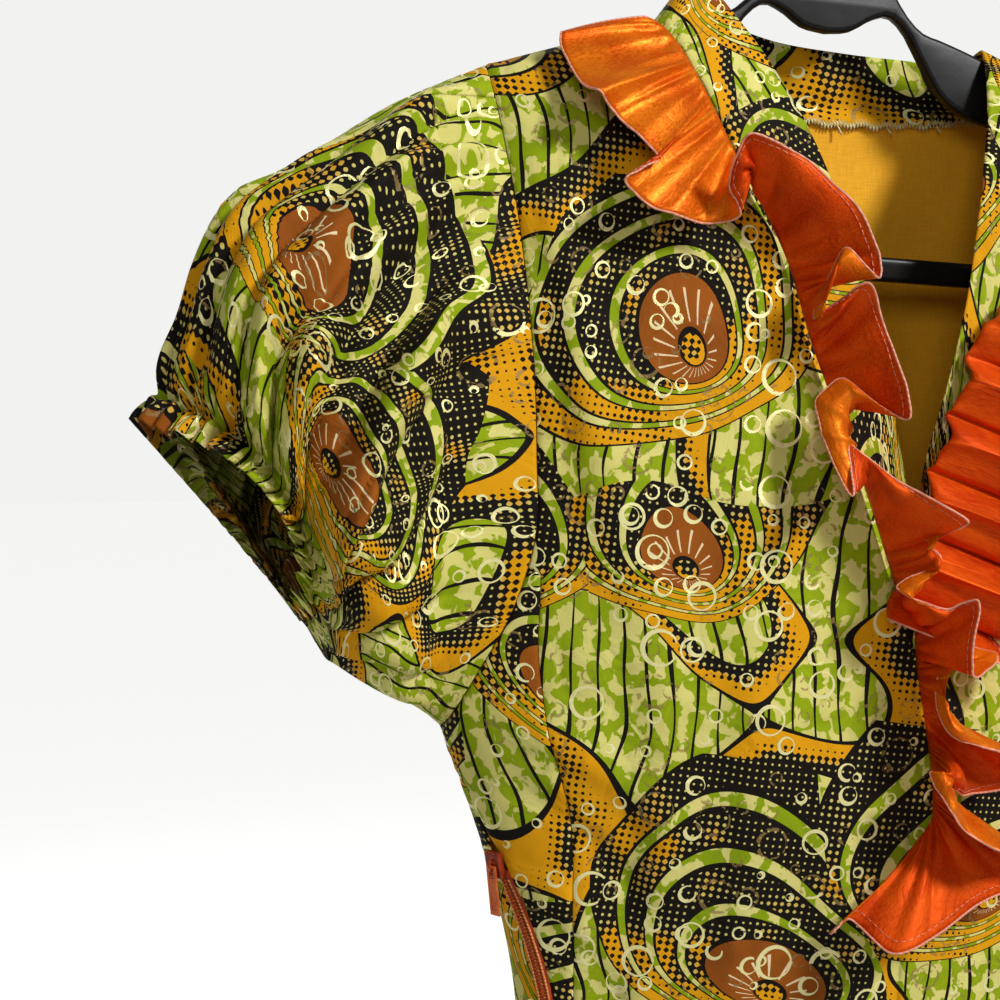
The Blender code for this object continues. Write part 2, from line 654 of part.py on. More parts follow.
def zip_tape(material):
    """Both tapes under the folded edges and the closed coil that stands up between them."""
    under = -(WALL + 0.8)
    half = ZIP_CHAIN / 2
    profile = ((-ZIP_TAPE / 2, under - 1.2), (-half - 0.9, under), (-half + 0.2, -0.3), (0, 0.4),
               (half - 0.2, -0.3), (half + 0.9, under), (ZIP_TAPE / 2, under - 1.2))
    rows = []
    ends = (ZIP_TOP_Z - ZIP_LENGTH + 12, ZIP_TOP_Z - 14)
    between = [z for z in levels(*LOW_LEVELS) if ends[0] + 5 < z < ends[1] - 5]
    for z in (ends[0], *between, ends[1]):
        rows.append([zip_point(z, across, stand) for across, stand in profile])
    cloth("zip_tape", np.array(rows), material, (CENTRE_X, 0, -560), thickness=0.9)


def slider_frame():
    """Across, up and out at the slider, as a matrix in metres."""
    z = ZIP_TOP_Z - SLIDER_BELOW
    at = zip_point(z, 0, 0)
    across = zip_point(z, 2, 0) - at
    up = zip_point(z + 2, 0, 0) - at
    x = Vector(across).normalized()
    out = x.cross(Vector(up)).normalized()
    y = out.cross(x)
    frame = Matrix((x, y, out)).transposed().to_4x4()
    frame.translation = Vector(at) * MM
    return frame


def pull_frame():
    """The slider's frame, turned about the pull's pivot."""
    pivot = Matrix.Translation((0, 0, PIVOT * MM))
    lean = Matrix.Rotation(math.radians(-PULL_LEAN), 4, "X")
    return slider_frame() @ pivot @ lean @ pivot.inverted()


def block(name, size, centre, bevel, collection, material, frame):
    """A box with rounded edges, in the frame given; sizes in mm."""
    mesh = bpy.data.meshes.new(name)
    bm = bmesh.new()
    bmesh.ops.create_cube(bm, size=1.0)
    for vert in bm.verts:
        vert.co = Vector([(c * s + m) * MM for c, s, m in zip(vert.co, size, centre)])
    if bevel:
        bmesh.ops.bevel(bm, geom=bm.edges, offset=bevel * MM, segments=2, affect="EDGES",
                        profile=0.5)
    bm.to_mesh(mesh)
    bm.free()
    obj = add_node(name, mesh, material, collection)
    obj.matrix_world = frame
    return obj


def cutter_like(obj):
    obj.hide_render = True
    obj.display_type = "WIRE"


def zip_slider(material):
    slider = block("zip_slider", SLIDER_SIZE,
                   (0, 0, SLIDER_FOOT + SLIDER_SIZE[2] / 2), 0.8, COLLECTION, material,
                   slider_frame())
    bpy.ops.mesh.primitive_torus_add(
        major_radius=CROWN_RADIUS * MM, minor_radius=CROWN_WIRE * MM,
        major_segments=20, minor_segments=8)
    crown = bpy.context.object
    crown.name = "crown"
    top = Matrix.Translation((0, 0, (SLIDER_FOOT + SLIDER_SIZE[2]) * MM))
    crown.matrix_world = slider_frame() @ top @ Matrix.Rotation(math.pi / 2, 4, "Y")
    move_to(crown, CUTTERS)
    cutter_like(crown)
    join = slider.modifiers.new("crown", "BOOLEAN")
    join.operation = "UNION"
    join.object = crown


def zip_pull(material):
    frame = pull_frame()
    pull = block("zip_pull", (PULL_WIDTH, PULL_LENGTH, PULL_THICK),
                 (0, PULL_BAR - PULL_LENGTH / 2, PIVOT), 0.3, COLLECTION, material, frame)
    window = block("pull_window", PULL_WINDOW, (0, -PULL_BAR - PULL_WINDOW[1] / 2, PIVOT),
                   0, CUTTERS, material, frame)
    panel = block("pull_panel", PULL_PANEL,
                  (0, PULL_PANEL_Y, PIVOT + (PULL_THICK + PULL_PANEL[2]) / 2 - PULL_PANEL_DEPTH),
                  0, CUTTERS, material, frame)
    for cutter in (window, panel):
        cutter_like(cutter)
        cut = pull.modifiers.new(cutter.name, "BOOLEAN")
        cut.operation = "DIFFERENCE"
        cut.object = cutter


# ------------------------------------------------------------------ hanger

def move_to(obj, collection):
    for old in obj.users_collection:
        old.objects.unlink(obj)
    collection.objects.link(obj)


def arm_edge(column):
    """An edge of the arms from the left end to the right one, in the hanger's own plane."""
    x = np.concatenate([-np.linspace(156, 6, 16), [0], np.linspace(6, 156, 16)])
    return [(px, float(smooth(ARM, "x", column, abs(px)))) for px in x]


def hanger(material):
    ends = ((158, -160), (154, -186), (143, -205), (130, BAR_Z - BAR_HEIGHT / 2))
    outer = arm_edge("upper") + list(ends) + [(-x, z) for x, z in reversed(ends)]
    inner_ends = ((148, -160), (145, -180), (136, -194), (124, BAR_Z + BAR_HEIGHT / 2))
    lower = [(x, z) for x, z in arm_edge("lower") if abs(x) < 147]
    inner = lower + list(inner_ends) + [(-x, z) for x, z in reversed(inner_ends)]
    curve = bpy.data.curves.new("hanger_outline", "CURVE")
    curve.dimensions = "2D"
    curve.fill_mode = "BOTH"
    curve.extrude = (ARM_THICK / 2 - ARM_ROUND) * MM
    curve.bevel_depth = ARM_ROUND * MM
    curve.offset = -ARM_ROUND * MM
    curve.bevel_resolution = 0
    for loop in (outer, inner):
        spline = curve.splines.new("POLY")
        spline.points.add(len(loop) - 1)
        spline.use_cyclic_u = True
        for point, (x, z) in zip(spline.points, loop):
            point.co = (x * MM, z * MM, 0, 1)
    flat = bpy.data.objects.new("hanger_outline", curve)
    CUTTERS.objects.link(flat)
    tip = Matrix.Rotation(math.radians(HANGER_ROLL), 4, "Y")
    flat.matrix_world = tip @ Matrix.Rotation(math.pi / 2, 4, "X")
    obj = mesh_from(flat, "hanger", COLLECTION, material)

    wire = bpy.data.curves.new("hook_path", "CURVE")
    wire.dimensions = "3D"
    wire.bevel_depth = HOOK_WIRE * MM
    wire.bevel_resolution = 2
    wire.use_fill_caps = True
    reach = HOOK_RADIUS + HOOK_WIRE
    path = [(0, -66), (0, -56), (6, -50), (14, -44), (21, -36)]
    path += [(reach * math.cos(a), -HOOK_RADIUS + reach * math.sin(a))
             for a in np.radians(np.arange(-12, 205, 12))]
    spline = wire.splines.new("POLY")
    spline.points.add(len(path) - 1)
    for point, (x, z) in zip(spline.points, path):
        point.co = (x * MM, 0, z * MM, 1)
    hook = bpy.data.objects.new("hook_path", wire)
    CUTTERS.objects.link(hook)
    hook.matrix_world = tip
    hook_mesh = mesh_from(hook, "hook", CUTTERS, material)
    cutter_like(hook_mesh)
    join = obj.modifiers.new("hook", "BOOLEAN")
    join.operation = "UNION"
    join.object = hook_mesh


def mesh_from(curve_obj, name, collection, material):
    """A closed mesh object made from a curve object, which is removed."""
    bpy.context.view_layer.update()
    graph = bpy.context.evaluated_depsgraph_get()
    mesh = bpy.data.meshes.new_from_object(curve_obj.evaluated_get(graph))
    bm = bmesh.new()
    bm.from_mesh(mesh)
    bmesh.ops.remove_doubles(bm, verts=bm.verts, dist=0.00001)
    bmesh.ops.recalc_face_normals(bm, faces=bm.faces)
    bm.to_mesh(mesh)
    bm.free()
    mesh.materials.clear()
    obj = add_node(name, mesh, material, collection)
    obj.matrix_world = curve_obj.matrix_world.copy()
    bpy.data.objects.remove(curve_obj)
    return obj


# ------------------------------------------------------------------ the whole dress

def finish(name, colour, roughness, metallic=0.0):
    material = bpy.data.materials.new(name)
    material.use_nodes = True
    shader = material.node_tree.nodes["Principled BSDF"]
    shader.inputs["Base Color"].default_value = (*colour, 1.0)
    shader.inputs["Roughness"].default_value = roughness
    shader.inputs["Metallic"].default_value = metallic
    return material


for leftover in list(bpy.data.objects):
    bpy.data.objects.remove(leftover)
COLLECTION = bpy.data.collections.new("wax_print_dress")
CUTTERS = bpy.data.collections.new("cutters")
for group in (COLLECTION, CUTTERS):
    bpy.context.scene.collection.children.link(group)

print_cotton = finish("wax_print_cotton", (0.28, 0.33, 0.06), 0.75)
lining_cotton = finish("lining_cotton", (0.58, 0.27, 0.01), 0.8)
satin = finish("satin_ruffle", (0.70, 0.12, 0.01), 0.38)
zip_nylon = finish("zip_nylon", (0.55, 0.10, 0.02), 0.5)
zip_metal = finish("zip_enamel", (0.60, 0.14, 0.03), 0.35)
black_plastic = finish("hanger_plastic", (0.01, 0.01, 0.01), 0.4)

front_centre(print_cotton)
front_side(-1, "front_side_right", print_cotton)
front_side(1, "front_side_left", print_cotton)
back(print_cotton)
sleeve(-1, "right", print_cotton)
sleeve(1, "left", print_cotton)
neck_band(-1, "neck_band_right", print_cotton)
neck_band(1, "neck_band_left", print_cotton)
neck_band_back(print_cotton)
lining_back(lining_cotton)
ruffle_right(satin)
ruffle_left(satin)
zip_tape(zip_nylon)
zip_slider(zip_metal)
zip_pull(zip_metal)
hanger(black_plastic)
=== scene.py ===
"""Looks of an ankara wax print dress with puff sleeves and a satin ruffle, on a plastic hanger.

Metres, +Z up, the front of the dress faces -Y and the hook's bearing point is the origin.
Sizes of cloth are in millimetres, and MM turns them to metres where a mesh is made.
"""
import math
from functools import partial

import bmesh
import bpy
import numpy as np
from mathutils import Matrix, Vector


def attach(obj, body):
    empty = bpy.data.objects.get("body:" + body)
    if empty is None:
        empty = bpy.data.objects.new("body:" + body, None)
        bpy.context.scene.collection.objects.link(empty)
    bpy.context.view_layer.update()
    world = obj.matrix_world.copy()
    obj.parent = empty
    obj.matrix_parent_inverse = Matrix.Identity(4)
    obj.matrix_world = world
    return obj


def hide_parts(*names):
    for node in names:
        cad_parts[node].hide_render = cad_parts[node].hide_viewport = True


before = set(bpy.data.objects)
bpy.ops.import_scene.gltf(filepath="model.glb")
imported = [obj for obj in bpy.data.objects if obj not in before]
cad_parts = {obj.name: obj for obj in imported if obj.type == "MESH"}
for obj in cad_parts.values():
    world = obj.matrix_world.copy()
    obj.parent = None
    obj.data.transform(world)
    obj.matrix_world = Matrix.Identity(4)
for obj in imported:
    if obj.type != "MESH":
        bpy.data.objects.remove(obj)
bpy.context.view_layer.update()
MM = 0.001


# ---------------------------------------------------------------- floor, light and camera
# A matt pale floor below the hem, a soft box high on the right, a weaker one on the left and a
# pale surround, as in a plain studio. The camera stands close, in front of the right side.
FLOOR_SIZE, FLOOR_Z = 30, -1.24
# Place, aim, size and watts
LIGHTS = {
    "key_light": ((0.85, -1.42, 0.8), (-0.05, 0.0, -0.3), 0.34, 36),
    "fill_light": ((-0.85, -1.9, 0.35), (0.0, 0.0, -0.3), 0.6, 6.5),
    "back_light": ((-0.6, 1.9, 0.8), (0.0, 0.0, -0.4), 1.4, 15),
}
CAMERA_PLACE = (-0.308, -0.680, -0.266)
CAMERA_TURN, CAMERA_DIP = math.radians(12.7), math.atan(100 / 1600)
LENS, SENSOR, NEAREST = 57.6, 36.0, 0.02


def linear(hex_colour):
    """sRGB hex to linear colour with alpha."""
    parts = [int(hex_colour[i:i + 2], 16) / 255 for i in (1, 3, 5)]
    return tuple(c / 12.92 if c <= 0.04045 else ((c + 0.055) / 1.055) ** 2.4
                 for c in parts) + (1.0,)


def feed(node, *inputs, **settings):
    """Give a node its inputs, in order or by a name in capitals, and its other settings.

    An input is a value, a hex colour or a link.
    """
    for key, value in (*enumerate(inputs), *settings.items()):
        if isinstance(key, str) and key[0].islower():
            setattr(node, key, value)
            continue
        socket = node.inputs[key.replace("_", " ") if isinstance(key, str) else key]
        if isinstance(value, bpy.types.Node):
            value = value.outputs[0]
        if isinstance(value, bpy.types.NodeSocket):
            node.id_data.links.new(value, socket)
        else:
            socket.default_value = linear(value) if isinstance(value, str) else value


def put(tree, kind, *inputs, **settings):
    """Add a node and feed it. A kind in capitals is an operation of Math, and a word after a
    space is another operation."""
    kind, _, operation = ("Math " + kind if kind.isupper() else kind).partition(" ")
    node = tree.nodes.new("ShaderNode" + kind)
    if operation:
        node.operation = operation
    feed(node, *inputs, **settings)
    return node


def new_material(name):
    """A new material, the function that adds a node to it, and its surface shader."""
    material = bpy.data.materials.new(name)
    material.use_nodes = True
    tree = material.node_tree
    return material, partial(put, tree), tree.nodes["Principled BSDF"]


def facing(way):
    """The turn of a light or camera that looks along a way."""
    return way.to_track_quat("-Z", "Y").to_euler()


bpy.ops.mesh.primitive_plane_add(size=FLOOR_SIZE, location=(0, 0, FLOOR_Z))
floor = bpy.context.object
floor.name = "floor"
floor_paint, node, surface = new_material("matt_pale_floor")
# Behind the dress it is lit up, as a studio sweep is
away = node("SeparateXYZ", node("TexCoord").outputs["Object"])
glow = node("MapRange", Value=away.outputs["Y"], From_Min=0.2, From_Max=1.7, To_Max=0.82,
            interpolation_type="SMOOTHSTEP")
grain = node("TexNoise", Scale=1.5, Detail=2.0)
feed(surface, Base_Color=node("MixRGB", grain, "#E9E7E3", "#EFEDEA"), Roughness=0.9,
     Emission_Color="#FAFAF9", Emission_Strength=glow)
floor.data.materials.append(floor_paint)

for name, (place, aim, size, watts) in LIGHTS.items():
    bpy.ops.object.light_add(type="AREA", location=place,
                             rotation=facing(Vector(aim) - Vector(place)))
    light = bpy.context.object
    light.name = name
    light.data.size = size
    light.data.energy = watts
# The surround shows almost white but lights the cloth only softly, so that folds keep their shade
surround = bpy.data.worlds.new("pale_surround")
surround.use_nodes = True
air = surround.node_tree
seen = put(air, "LightPath").outputs["Is Camera Ray"]
feed(air.nodes["Background"], Color="#FAFAF9",
     Strength=put(air, "MapRange", Value=seen, To_Min=0.15, To_Max=0.93))
bpy.context.scene.world = surround
bpy.context.scene.view_settings.view_transform = "Standard"

ahead = Vector((math.sin(CAMERA_TURN) * math.cos(CAMERA_DIP),
                math.cos(CAMERA_TURN) * math.cos(CAMERA_DIP), -math.sin(CAMERA_DIP)))
bpy.ops.object.camera_add(location=CAMERA_PLACE, rotation=facing(ahead))
camera = bpy.context.object
camera.data.lens, camera.data.sensor_width, camera.data.clip_start = LENS, SENSOR, NEAREST
bpy.context.scene.camera = camera


# ---------------------------------------------------------------- wax print cotton
# Crisp plain-woven cotton of about 140 g a square metre, printed in wax resist: broken green and
# cream ground, fine black lines, black and ochre bands shaded with dots, brown discs with cream
# rays, and metal foil rings pressed on top. The layout is a generic one drawn for this dress.
INK = "#120D06"
DOT_PITCH, COLUMN_PITCH, ROW_PITCH, ROUNDEL_PITCH, WEAVE_PITCH = 3.2, 11.5, 15.0, 134.0, 1.3
OFF_CENTRE = 0.62       # how far the circles of a roundel drift to one side, for each mm of radius
BLACK, DOTTED, STRIPED, BROWN, GROUND = range(5)
# Zones of a roundel by radius in mm
ROUNDEL = ((0.0, DOTTED), (5.6, BLACK), (7.0, BROWN), (21.6, BLACK), (23.0, DOTTED), (27.5, BLACK),
           (28.2, STRIPED), (31.2, BLACK), (32.4, DOTTED), (40.0, BLACK), (41.2, STRIPED),
           (44.4, BLACK), (45.6, DOTTED), (53.0, BLACK), (54.3, STRIPED), (57.6, BLACK),
           (58.9, DOTTED), (68.5, BLACK), (70.0, GROUND))
ROUNDEL_SPAN = 80       # radius at the far end of its ramp
# Zones across the ribbons that wind between the roundels, by noise level
RIBBON = ((0.0, GROUND), (0.432, BLACK), (0.441, DOTTED), (0.562, BLACK), (0.571, GROUND))
# Foil rings, large and small: pitch, least radius, spread of radius and share left out
FOIL_RINGS = ((27.0, 3.6, 4.6, 0.12), (13.5, 1.8, 2.6, 0.3))


def zone_ramp(node, factor, zones, span):
    """A stepped ramp that turns a radius or level into a zone number over four."""
    ramp = node("ValToRGB", factor)
    ramp.color_ramp.interpolation = "CONSTANT"
    stops = ramp.color_ramp.elements
    while len(stops) < len(zones):
        stops.new(0.5)
    for stop, (start, zone) in zip(stops, zones):
        stop.position = start / span
        stop.color = (zone / 4, zone / 4, zone / 4, 1)
    return ramp


def wax_print(name, reverse=False):
    """The print on its right side, or on the reverse, mixed half into dark brown as painted shade.
    """
    material, node, surface = new_material(name)
    cloth_mm = node("Mapping", Vector=node("UVMap", uv_map="cut"), Scale=(1000,) * 3)
    swell, grain, sway, worn, region = (
        node("TexNoise", Vector=cloth_mm, Scale=1 / size, Detail=detail, noise_dimensions="2D")
        for size, detail in ((110, 0.5), (26, 1.0), (60, 1.0), (3.0, 3.0), (120, 0.0)))
    drift = node("VectorMath MULTIPLY_ADD", swell.outputs["Color"], (56, 56, 0), (-28, -28, 0))
    warped = node("VectorMath ADD", cloth_mm, drift)

    # Roundels: circles that crowd together on one side
    cells = node("TexVoronoi", Vector=warped, Scale=1 / ROUNDEL_PITCH, Randomness=0.62,
                 voronoi_dimensions="2D")
    lot = node("SeparateColor", cells.outputs["Color"])
    off = node("VectorMath SUBTRACT", warped, cells.outputs["Position"])
    turned = node("VectorRotate", Vector=off, Angle=node("MULTIPLY_ADD", lot, 2.6, 3.3),
                  rotation_type="Z_AXIS")
    oval = node("VectorMath MULTIPLY", turned, (1.1, 0.92, 0))
    place = node("SeparateXYZ", oval)
    length = node("VectorMath LENGTH", oval).outputs["Value"]
    across = node("MULTIPLY", place, OFF_CENTRE)
    square = node("MULTIPLY", node("MULTIPLY", length, length), 1 - OFF_CENTRE ** 2)
    root = node("SQRT", node("MULTIPLY_ADD", across, across, square))
    radius = node("DIVIDE", node("SUBTRACT", root, across), 1 - OFF_CENTRE ** 2)
    roundel = zone_ramp(node, node("DIVIDE", radius, ROUNDEL_SPAN), ROUNDEL, ROUNDEL_SPAN)
    side = node("DIVIDE", place, node("MAXIMUM", length, 0.5))

    # Ribbons between them
    wind = node("TexNoise", Vector=warped, Scale=1 / 96, Detail=0.0, noise_dimensions="2D")
    ribbon = zone_ramp(node, wind, RIBBON, 1.0)
    inside = node("LESS_THAN", radius, ROUNDEL[-1][0])
    zone = node("MULTIPLY", node("MixRGB", inside, ribbon, roundel), 4.0)

    # Brown discs with cream rays that bend a little
    rays = node("MULTIPLY_ADD", node("ARCTAN2", place.outputs[1], place), 21,
                node("MULTIPLY", radius, 0.12))
    rays = node("GREATER_THAN", node("COSINE", rays), 0.86)
    reach = node("MULTIPLY", node("GREATER_THAN", radius, 8.4),
                 node("LESS_THAN", radius, node("MULTIPLY_ADD", grain, 14, 9.0)))
    brown = node("MixRGB", node("MULTIPLY", rays, reach),
                 node("MixRGB", grain, "#7E400C", "#A85C12"), "#EBD3A6")

    # Dots whose size follows the shade: plain ochre, black dots, a net, then cream dots on black
    shade = node("MULTIPLY_ADD", node("LESS_THAN", radius, 6.5), -0.3,
                 node("MULTIPLY_ADD", side, 0.5, 0.42))
    shade = node("MixRGB", inside, node("MULTIPLY_ADD", wind, -11.0, 5.95), shade)
    shade = node("ADD", shade, node("MULTIPLY_ADD", grain, 1.5, -0.75))
    shade = node("MINIMUM", shade, 0.88)
    grid = node("SeparateXYZ", node("Mapping", Vector=cloth_mm, Rotation=(0, 0, 0.14),
                                    Scale=(math.tau / DOT_PITCH,) * 3))
    dots = node("ADD", *(node("COSINE", axis) for axis in grid.outputs[:2]))
    dots = node("MULTIPLY_ADD", dots, 0.25, 0.5)
    ink = node("MapRange", Value=node("ADD", dots, shade), From_Min=0.97, From_Max=1.03)
    pale = node("MapRange", Value=shade, From_Min=0.5, From_Max=0.78)
    dotted = node("MixRGB", ink, node("MixRGB", pale, "#DE9C04", "#CFC46E"), INK)

    # Ground: green columns broken by cream, with thin black lines down it
    place = node("SeparateXYZ", node("VectorMath MULTIPLY_ADD", drift, (0.45, 0.3, 0), cloth_mm))
    across = node("MULTIPLY_ADD", sway, 16, place)
    brush = node("TexNoise", Vector=node("Mapping", Vector=cloth_mm, Scale=(1 / 7, 1 / 8, 1)),
                 Scale=1.0, Detail=2.0, Distortion=0.3, noise_dimensions="2D")
    plaid = node("COSINE", node("MULTIPLY", across, math.tau / COLUMN_PITCH))
    down = node("MULTIPLY", place.outputs[1], math.tau / ROW_PITCH)
    rows = node("COSINE", node("MULTIPLY_ADD", sway, 9.0, down))
    plaid = node("MULTIPLY_ADD", node("ADD", plaid, rows), 0.05, brush)
    patches = node("MapRange", Value=plaid, From_Min=0.475, From_Max=0.51)
    ground = node("MixRGB", patches, node("MixRGB", grain, "#CAC468", "#E4DC84"),
                  node("MixRGB", brush, "#7A9004", "#9CB00C"))
    lines = node("PINGPONG", node("DIVIDE", across, COLUMN_PITCH), 0.5)
    thin = node("MULTIPLY_ADD", grain, 0.1, 0.012)
    ground = node("MixRGB", node("LESS_THAN", lines, thin), ground, INK)
    striped = node("MixRGB", patches, "#DAD27C", "#8AA00A")

    colour = INK
    for number, fill in ((DOTTED, dotted), (STRIPED, striped), (BROWN, brown), (GROUND, ground)):
        colour = node("MixRGB", node("COMPARE", zone, number, 0.4), colour, fill)

    # Foil rings, thick on one side, some bright and some rubbed dull
    rings, shines = [], []
    for pitch, least, spread_out, left_out in FOIL_RINGS:
        seeds = node("TexVoronoi", Vector=cloth_mm, Scale=1 / pitch, Randomness=0.85,
                     voronoi_dimensions="2D")
        lot = node("SeparateColor", seeds.outputs["Color"])
        centre = node("VectorMath SUBTRACT", cloth_mm, seeds.outputs["Position"])
        size = node("MULTIPLY_ADD", lot, spread_out, least)
        outer = node("LESS_THAN", node("VectorMath LENGTH", centre).outputs["Value"], size)
        lean = node("VectorMath MULTIPLY_ADD", seeds.outputs["Color"], (1.5, 1.5, 0),
                    (-0.75, -0.75, 0))
        inner = node("VectorMath LENGTH", node("VectorMath SUBTRACT", centre, lean))
        inner = node("GREATER_THAN", inner.outputs["Value"], node("MULTIPLY_ADD", size, 0.9, -0.6))
        ring = node("MULTIPLY", node("MULTIPLY", outer, inner),
                    node("GREATER_THAN", lot.outputs[1], left_out))
        lit = node("GREATER_THAN", node("ADD", lot.outputs[2], region), 1.02)
        kept = node("GREATER_THAN", node("MULTIPLY_ADD", lit, 0.2, worn), 0.47)
        rings.append(node("MULTIPLY", ring, kept))
        shines.append(node("MULTIPLY", rings[-1], lit))
    foil, bright = node("MAXIMUM", *rings), node("MAXIMUM", *shines)
    see = node("MULTIPLY", foil, node("MULTIPLY_ADD", bright, 0.3, 0.68))
    colour = node("MixRGB", see, colour, node("MixRGB", bright, "#8E7444", "#F2EAA8"))
    # Painted shade: the reverse is darkened half towards brown for the shaded inside of a sleeve
    if reverse:
        colour = node("MixRGB", 0.5, colour, "#24170A")

    # Weave drawn at three times the thread pitch so that it shows, the foil's edge and crumples
    weave = node("SeparateXYZ", node("Mapping", Vector=cloth_mm,
                                     Scale=(math.tau / WEAVE_PITCH,) * 3))
    weave = node("MULTIPLY", *(node("SINE", axis) for axis in weave.outputs[:2]))
    crumple = node("TexNoise", Vector=cloth_mm, Scale=1 / 24, Detail=3.0, Distortion=0.6,
                   noise_dimensions="2D")
    height = node("MULTIPLY_ADD", weave, 0.045, node("MULTIPLY", crumple, 2.2))
    height = node("MULTIPLY_ADD", foil, 0.06, height)
    feed(surface, Base_Color=colour, Roughness=node("MULTIPLY_ADD", foil, -0.36, 0.78),
         Metallic=node("MULTIPLY", bright, 0.3), Specular_IOR_Level=0.16,
         Normal=node("Bump", Strength=1.0, Distance=MM, Height=height))
    return material


print_cotton = wax_print("printed_cotton_with_foil")
print_reverse_painted_shade = wax_print("printed_cotton_wrong_side", reverse=True)


# ---------------------------------------------------------------- centre front
# One cotton panel from the V neck to the hem, between the two princess seams. It hangs from the
# shoulders in soft folds. The form below is that of the whole dress, shared by all panels.
CENTRE_X = 14.0
INSIDE = (CENTRE_X, 0, -330)
HEM_Z, ARMPIT_Z, PRINCESS_TOP_Z, V_SEAM_Z = -1088.0, -407.0, -336.0, -365.0
# Three tables whose "at" row is the height of each value. A seam's "out" is its distance from
# the centre line
BODY = {
    "at": (-1088, -900, -740, -640, -545, -500, -480, -455, -432, -407, -300, -200, -120, -70),
    "half_width": (236, 219, 200, 181, 161, 167, 172, 179, 187, 196, 196, 196, 196, 196),
    "front": (62, 60, 57, 51, 46, 51, 54, 58, 60, 61, 61, 55, 50, 48),
    "back": (58, 56, 52, 44, 37, 40, 41, 43, 44, 45, 45, 44, 42, 40),
    "seam_angle": (9, 11, 15, 19, 21, 17, 14, 9, 3, 0, 0, 0, 0, 0),
}
ARMHOLE = {
    "at": (-407, -384, -354, -324, -287, -245, -207, -188, -154, -122),
    "out": (196, 185, 170, 161, 160, 161, 164, 166, 171, 176),
}
PRINCESS = {
    "at": (-1088, -900, -740, -640, -545, -500, -439, -403, -373, -336, -320),
    "out": (168, 158, 150, 144, 141, 142, 147, 156, 160, 159, 160),
}
# The neck band's seam and free edge, from the V up to the shoulder
BAND_RIGHT = {
    "seam_x": (13, 7, -10, -30, -42, -60, -73, -82, -87),
    "seam_z": (-361.5, -351, -300, -246, -204, -165, -133, -112, -102),
    "edge_x": (11, 8, 3, -3, -11, -22, -38, -55, -67),
    "edge_y": (-57, -55, -51, -44, -35, -26, -15, -6, -1.4),
    "edge_z": (-311, -292, -258, -222, -186, -152, -118, -92, -76),
}
BAND_LEFT = {
    "seam_x": (15, 20, 37, 58, 71, 86, 96, 104, 108),
    "seam_z": (-361.5, -351, -300, -246, -204, -168, -145, -130, -122),
    "edge_x": (16, 19, 31, 43, 52, 59, 65, 69, 72),
    "edge_y": (-57, -55, -51, -44, -36, -28, -19, -10, -1.4),
    "edge_z": (-311, -292, -258, -222, -186, -160, -136, -118, -105.5),
}
BAND_END = 8            # the last place in a band's rows
# Main creases of the front and of the back: from x, z to x, z, half width and height, which is
# negative for a trough
FRONT_CREASES = (
    (-148, -150, -122, -330, 9, 3.2), (-128, -250, -96, -470, 12, 3.4),
    (-60, -330, -74, -640, 14, 3.6), (-104, -360, -120, -600, 11, -3.2),
    (-20, -430, -30, -760, 20, 4.0), (60, -400, 66, -700, 18, -3.6),
    (112, -330, 104, -620, 14, 3.4), (160, -190, 140, -380, 10, 2.8),
    (-158, -402, -92, -446, 8, 3.0), (-156, -426, -100, -482, 7, -2.6),
    (176, -420, 120, -470, 9, 2.6), (-84, -300, -40, -330, 9, 1.8),
    (-152, -470, -96, -530, 8, 2.6), (-140, -140, -98, -176, 8, 2.2),
    (-150, -170, -100, -196, 7, -1.8), (-40, -500, -96, -610, 11, -2.6),
)
BACK_CREASES = (
    (-120, -200, -96, -420, 12, 2.4), (-40, -190, -52, -520, 18, -2.6),
    (40, -220, 34, -560, 20, 2.8), (120, -230, 100, -460, 13, 2.2),
    (-150, -400, -80, -460, 9, 1.8), (180, -400, 110, -470, 9, 1.8),
    (84, -520, 90, -800, 22, 3.0), (-70, -540, -84, -860, 20, 3.0),
)
SIDE_SEAM, SEAM = 0.2, 0.12
SEAM_ROLL = 0.8         # how deep a panel's edge turns in at a seam
SHOULDER_GAP = 0.3      # half the gap of the shoulder seam
NECK_X, NECK_Z = -5.0, -77.4    # where the two shoulder lines would meet
SKIRT_FOLD_TOP, SKIRT_FOLD_DEPTH, SKIRT_FOLD_PITCH = -607.0, 7.0, 71.0
FRONT_ROWS, FRONT_COLUMNS, YOKE_ROWS = 190, 42, 68


def smooth(table, row, place):
    """Read a row of a table on a smooth curve through its values, at a place in its "at" row, or
    else counted in values."""
    values = np.array(table[row], float)
    keys = np.array(table.get("at", range(len(values))), float)
    slopes = np.gradient(values, keys)
    place = np.clip(place, keys[0], keys[-1])
    i = np.clip(np.searchsorted(keys, place) - 1, 0, len(keys) - 2)
    step = keys[i + 1] - keys[i]
    t = (place - keys[i]) / step
    return ((1 + 2 * t) * (1 - t) ** 2 * values[i] + t * (1 - t) ** 2 * step * slopes[i]
            + t * t * (3 - 2 * t) * values[i + 1] - t * t * (1 - t) * step * slopes[i + 1])


def ease(t):
    t = np.clip(t, 0.0, 1.0)
    return t * t * (3 - 2 * t)


def shoulder_z(x):
    """Height of the shoulder line over a place x, which falls more on the left."""
    return NECK_Z - np.where(x < NECK_X, 0.29 * (NECK_X - x), 0.395 * (x - NECK_X))


def tip_of(side):
    return float(shoulder_z(CENTRE_X + side * ARMHOLE["out"][-1]))


def armhole_x(side, z):
    return CENTRE_X + side * (smooth(ARMHOLE, "out", z) - 0.1)


